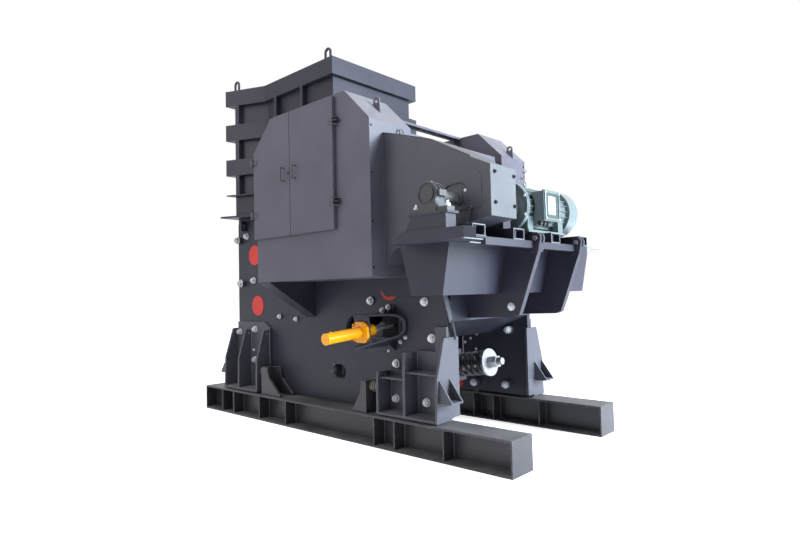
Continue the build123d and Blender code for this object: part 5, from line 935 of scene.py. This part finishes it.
def rim_loop(x, y, z, inset):
    """Corners of an upright outline that faces the rear, drawn in from its limits."""
    (y0, y1), (z0, z1) = y, z
    return [Vector(p) for p in ((x, y0 + inset, z0 + inset), (x, y1 - inset, z0 + inset),
                                (x, y1 - inset, z1 - inset), (x, y0 + inset, z1 - inset))]


LID_X, LID_Y, LID_Z = 2490, (-285, 5), (2250, 2530)
LID_SCREW_INSET = 15
LID_FIELD_INSET = 19


def terminal_box_trim():
    """Lid frame with its field darker than the rim as painted shade, blank plate and cable glands
    of the terminal box.
    """
    (y0, y1), (z0, z1) = LID_Y, LID_Z
    steps = ((0, 0), (0, 10), (9, 14), (20, 10), (20, 0))
    lid = Shape().skin([rim_loop(LID_X + out, LID_Y, LID_Z, inset) for inset, out in steps],
                       closed=True)
    lid.done("terminal_lid", "motor_paint", edge=3)
    field = Shape().block((LID_X + 0.3, LID_X + 2), (y0 + LID_FIELD_INSET, y1 - LID_FIELD_INSET),
                          (z0 + LID_FIELD_INSET, z1 - LID_FIELD_INSET))
    field.done("terminal_lid_field", "lid_paint", edge=0.4)
    plate = Shape().block((LID_X + 2, LID_X + 4), (-215, -75), (2305, 2482))
    plate.done("blank_cover_plate", "plate_white", edge=1)
    glands = Shape()
    for y in (-210, -140, -70):
        glands.turned((2400, y, z0), DOWN, ((0, 30), (14, 30), (15, 22), (34, 22), (36, 14),
                                            (46, 14)), 12)
    glands.done("cable_glands", "block_paint", edge=0.8)


SHIELD_SCREW_CIRCLE = 236
FAN_GRILLE_Y = 621


def motor_trim():
    """Lifting eye, end shield, screws and fan grille of the motor."""
    eye = Shape().turned((SHAFT_X, -60, 2610), UP, ((0, 22), (10, 22), (12, 9), (24, 9)), 16)
    eye.hoop((SHAFT_X, -60, 2654), REAR, 22, 8)
    eye.done("motor_lifting_eye", "motor_paint", edge=0)
    rim = Shape()
    rim.washer((SHAFT_X, MOTOR_FRONT_Y, SHAFT_Z), NEAR, 246, 226, 14, 48)
    rim.washer((SHAFT_X, MOTOR_FRONT_Y, SHAFT_Z), NEAR, 150, 132, 20, 40)
    rim.done("motor_front_shield", "motor_paint", edge=2)
    screws = [(round_shaft(SHIELD_SCREW_CIRCLE, degrees, MOTOR_FRONT_Y - 14), NEAR, 1.0)
              for degrees in range(22, 382, 45)]
    screws += [((LID_X + 8, y, z), REAR, 0.7)
               for y in (LID_Y[0] + LID_SCREW_INSET, LID_Y[1] - LID_SCREW_INSET)
               for z in (LID_Z[0] + LID_SCREW_INSET, LID_Z[1] - LID_SCREW_INSET)]
    bolts("motor_screws", screws, "bolt_steel", head=(12, 9), washer=(15, 2),
          stud=(5, 3))
    place = [((SHAFT_X, FAN_GRILLE_Y, SHAFT_Z), FAR, 1.0)]
    grown("fan_grille", GRILLES, points_mesh("fan_grille_place", place), "motor_paint",
          Rings=11, Inner_Radius=0.03, Spacing=0.0165, Wire_Radius=0.0028, Spokes=8)


# Platform and base

RAIL_END_X, RAIL_HALF, RAIL_Z = 2460, 90, (2036, 2136)


def rail_ends():
    """Pale frames and inner stiffeners on the open rear ends of the slide rails."""
    frames = Shape()
    inner = Shape()
    for y in (-1345, -722, -31, 582):
        frames.skin([rim_loop(RAIL_END_X + out, (y - RAIL_HALF, y + RAIL_HALF), RAIL_Z, inset)
                     for inset, out in ((0, 0), (0, 4), (8, 4), (8, 0))], closed=True)
        inner.block((RAIL_END_X - 30, RAIL_END_X - 22), (y - 20, y - 10),
                    (RAIL_Z[0] + 13, RAIL_Z[1] - 13))
    frames.done("rail_end_frames", "edge_steel", edge=0.8)
    inner.done("rail_stiffeners", "foot_paint", edge=0.8)


def platform_trim():
    """Closing plate on the end of the near beam, near-black as painted shadow, and two thin plates
    beside it.
    """
    closing = Shape().block((2526, 2529), (-1648, -1482), (1972, 2093))
    closing.done("near_beam_end_plate", "shade_paint", edge=1)
    strips = Shape().block((2505, 2536), (-1652, -1395), (1993, 2003))
    strips.block((2505, 2531), (-1570, -1420), (1964, 1973))
    strips.done("platform_edge_plates", "edge_steel", edge=1)


def base_strips():
    """Packing strips that close the gap between the side plates and the beams."""
    strips = Shape().block((-1560, 880), (-772, -738), (320, 345))
    strips.mirrored().done("base_strips", "beam_paint", edge=1)


# Wedge cylinders and tension rod

CYLINDER_SLOPE = 4.7
CYLINDER_CAP = (842, -1645.33, 1147)
CORNERS = ((1, 1), (1, -1), (-1, 1), (-1, -1))
CORNER_REACH = 78


def cylinder_trim():
    """Flange bolts, end rings and ports of the wedge cylinders."""
    slope = radians(CYLINDER_SLOPE)
    way = Vector((0, cos(slope), sin(slope)))
    cap = Vector(CYLINDER_CAP)
    _, first, second = across(way)
    rows = []
    for run, facing, size in ((460, -way, 1.0), (494, way, 0.9)):
        for a, b in CORNERS:
            place = cap + way * run + CORNER_REACH * (a * first + b * second)
            rows.append((tuple(place), tuple(facing), size))
    bolts("cylinder_bolts", both_sides(rows), "cylinder_paint", head=(13, 12),
          washer=(16, 2), stud=(6, 3))
    trim = Shape()
    for run, outer, inner, thickness in ((2, 59, 56, 10), (446, 61, 56, 14), (634, 63, 42, 10)):
        trim.washer(cap + way * run, way, outer, inner, thickness, 36)
    port = Vector((0.35, -0.1, 1)).normalized()
    trim.turned(cap + way * 60 + port * 54, port, ((0, 16), (10, 16), (11, 9), (16, 9)), 6)
    trim.turned(cap + way * 560 + port * 57, port, ((0, 14), (9, 14), (10, 7), (14, 7)), 6)
    trim.mirrored().done("cylinder_trim", "cylinder_paint", edge=0.8)


def rod_thread():
    """Rolled thread of the tension rod's end, from the spring washer to its tip."""
    path = [(1622, 0, 832), (1779, 0, 832)]
    grown("rod_thread", RUNS, paths_mesh("rod_thread_path", [path]), "edge_steel",
          Radius=0.0358, Step=0.005, Ripple=0.05, Sides=24)


# Weld beads

BEAM_Y, BEAM_WEB_HALF = 884, 8
BEAM_STIFFENERS = (-2092, -1810, -1209, -650, 873, 1161, 1785)
STIFFENER_HALF = 8
STIFFENER_Z = (24, 296)
FOOT_GUSSETS = ((-1739, 1120), (-1313, 1120), (903, 760), (1276, 975))
GUSSET_HALF = 15
GUSSET_BOTTOM = 366
BEAD_SET_OFF = 2


def base_welds():
    """Pale beads in the corners of the beams' stiffeners and the feet's gussets."""
    paths = []
    for side in (-1, 1):
        for x in BEAM_STIFFENERS:
            for step in (-STIFFENER_HALF - BEAD_SET_OFF, STIFFENER_HALF + BEAD_SET_OFF):
                for out in (-1, 1):
                    y = side * BEAM_Y + out * (BEAM_WEB_HALF + BEAD_SET_OFF)
                    paths.append([(x + step, y, z) for z in STIFFENER_Z])
        for x, top in FOOT_GUSSETS:
            for step in (-GUSSET_HALF - BEAD_SET_OFF, GUSSET_HALF + BEAD_SET_OFF):
                y = side * (FOOT_Y + BEAD_SET_OFF)
                paths.append([(x + step, y, z) for z in (GUSSET_BOTTOM, top)])
    grown("base_weld_beads", RUNS, paths_mesh("base_weld_paths", paths), "edge_steel",
          Radius=0.0055, Step=0.009, Ripple=0.2, Sides=6)


def seam_welds():
    """Beads on the guards' rear edges, the side plates' front edges and the platform beam."""
    paths = []
    for side in (-1, 1):
        paths.append([(GUARD_REAR_X, side * GUARD_FACE_Y, z) for z in (1738, 3272)])
        paths.append([(FRONT_X, side * PLATE_Y, z) for z in (1240, 2600)])
    for y in (BELT_FACE_Y, -862):
        paths.append([(GUARD_REAR_X + 1, y, z) for z in (1866, 3134)])
    paths.append([(x, -1482, 2095) for x in (1705, 2526)])
    grown("weld_beads", RUNS, paths_mesh("weld_paths", paths), "guard_paint", Radius=0.0045,
          Step=0.005, Ripple=0.22, Sides=6)


bpy.context.scene.view_settings.view_transform = "Standard"
set_camera()
set_light()
set_floor()
dress_nodes()
frame_fasteners()
small_fasteners()
bearing_fasteners()
belt_guard_trim()
door_lock(FRONT_DOOR, 52)
door_lock(REAR_DOOR, 110)
hinge_straps()
guard_hooks()
stays()
buffer_rings()
lifting_shackles()
pillow_block_trim()
terminal_box_trim()
motor_trim()
rail_ends()
platform_trim()
base_strips()
cylinder_trim()
rod_thread()
base_welds()
seam_welds()
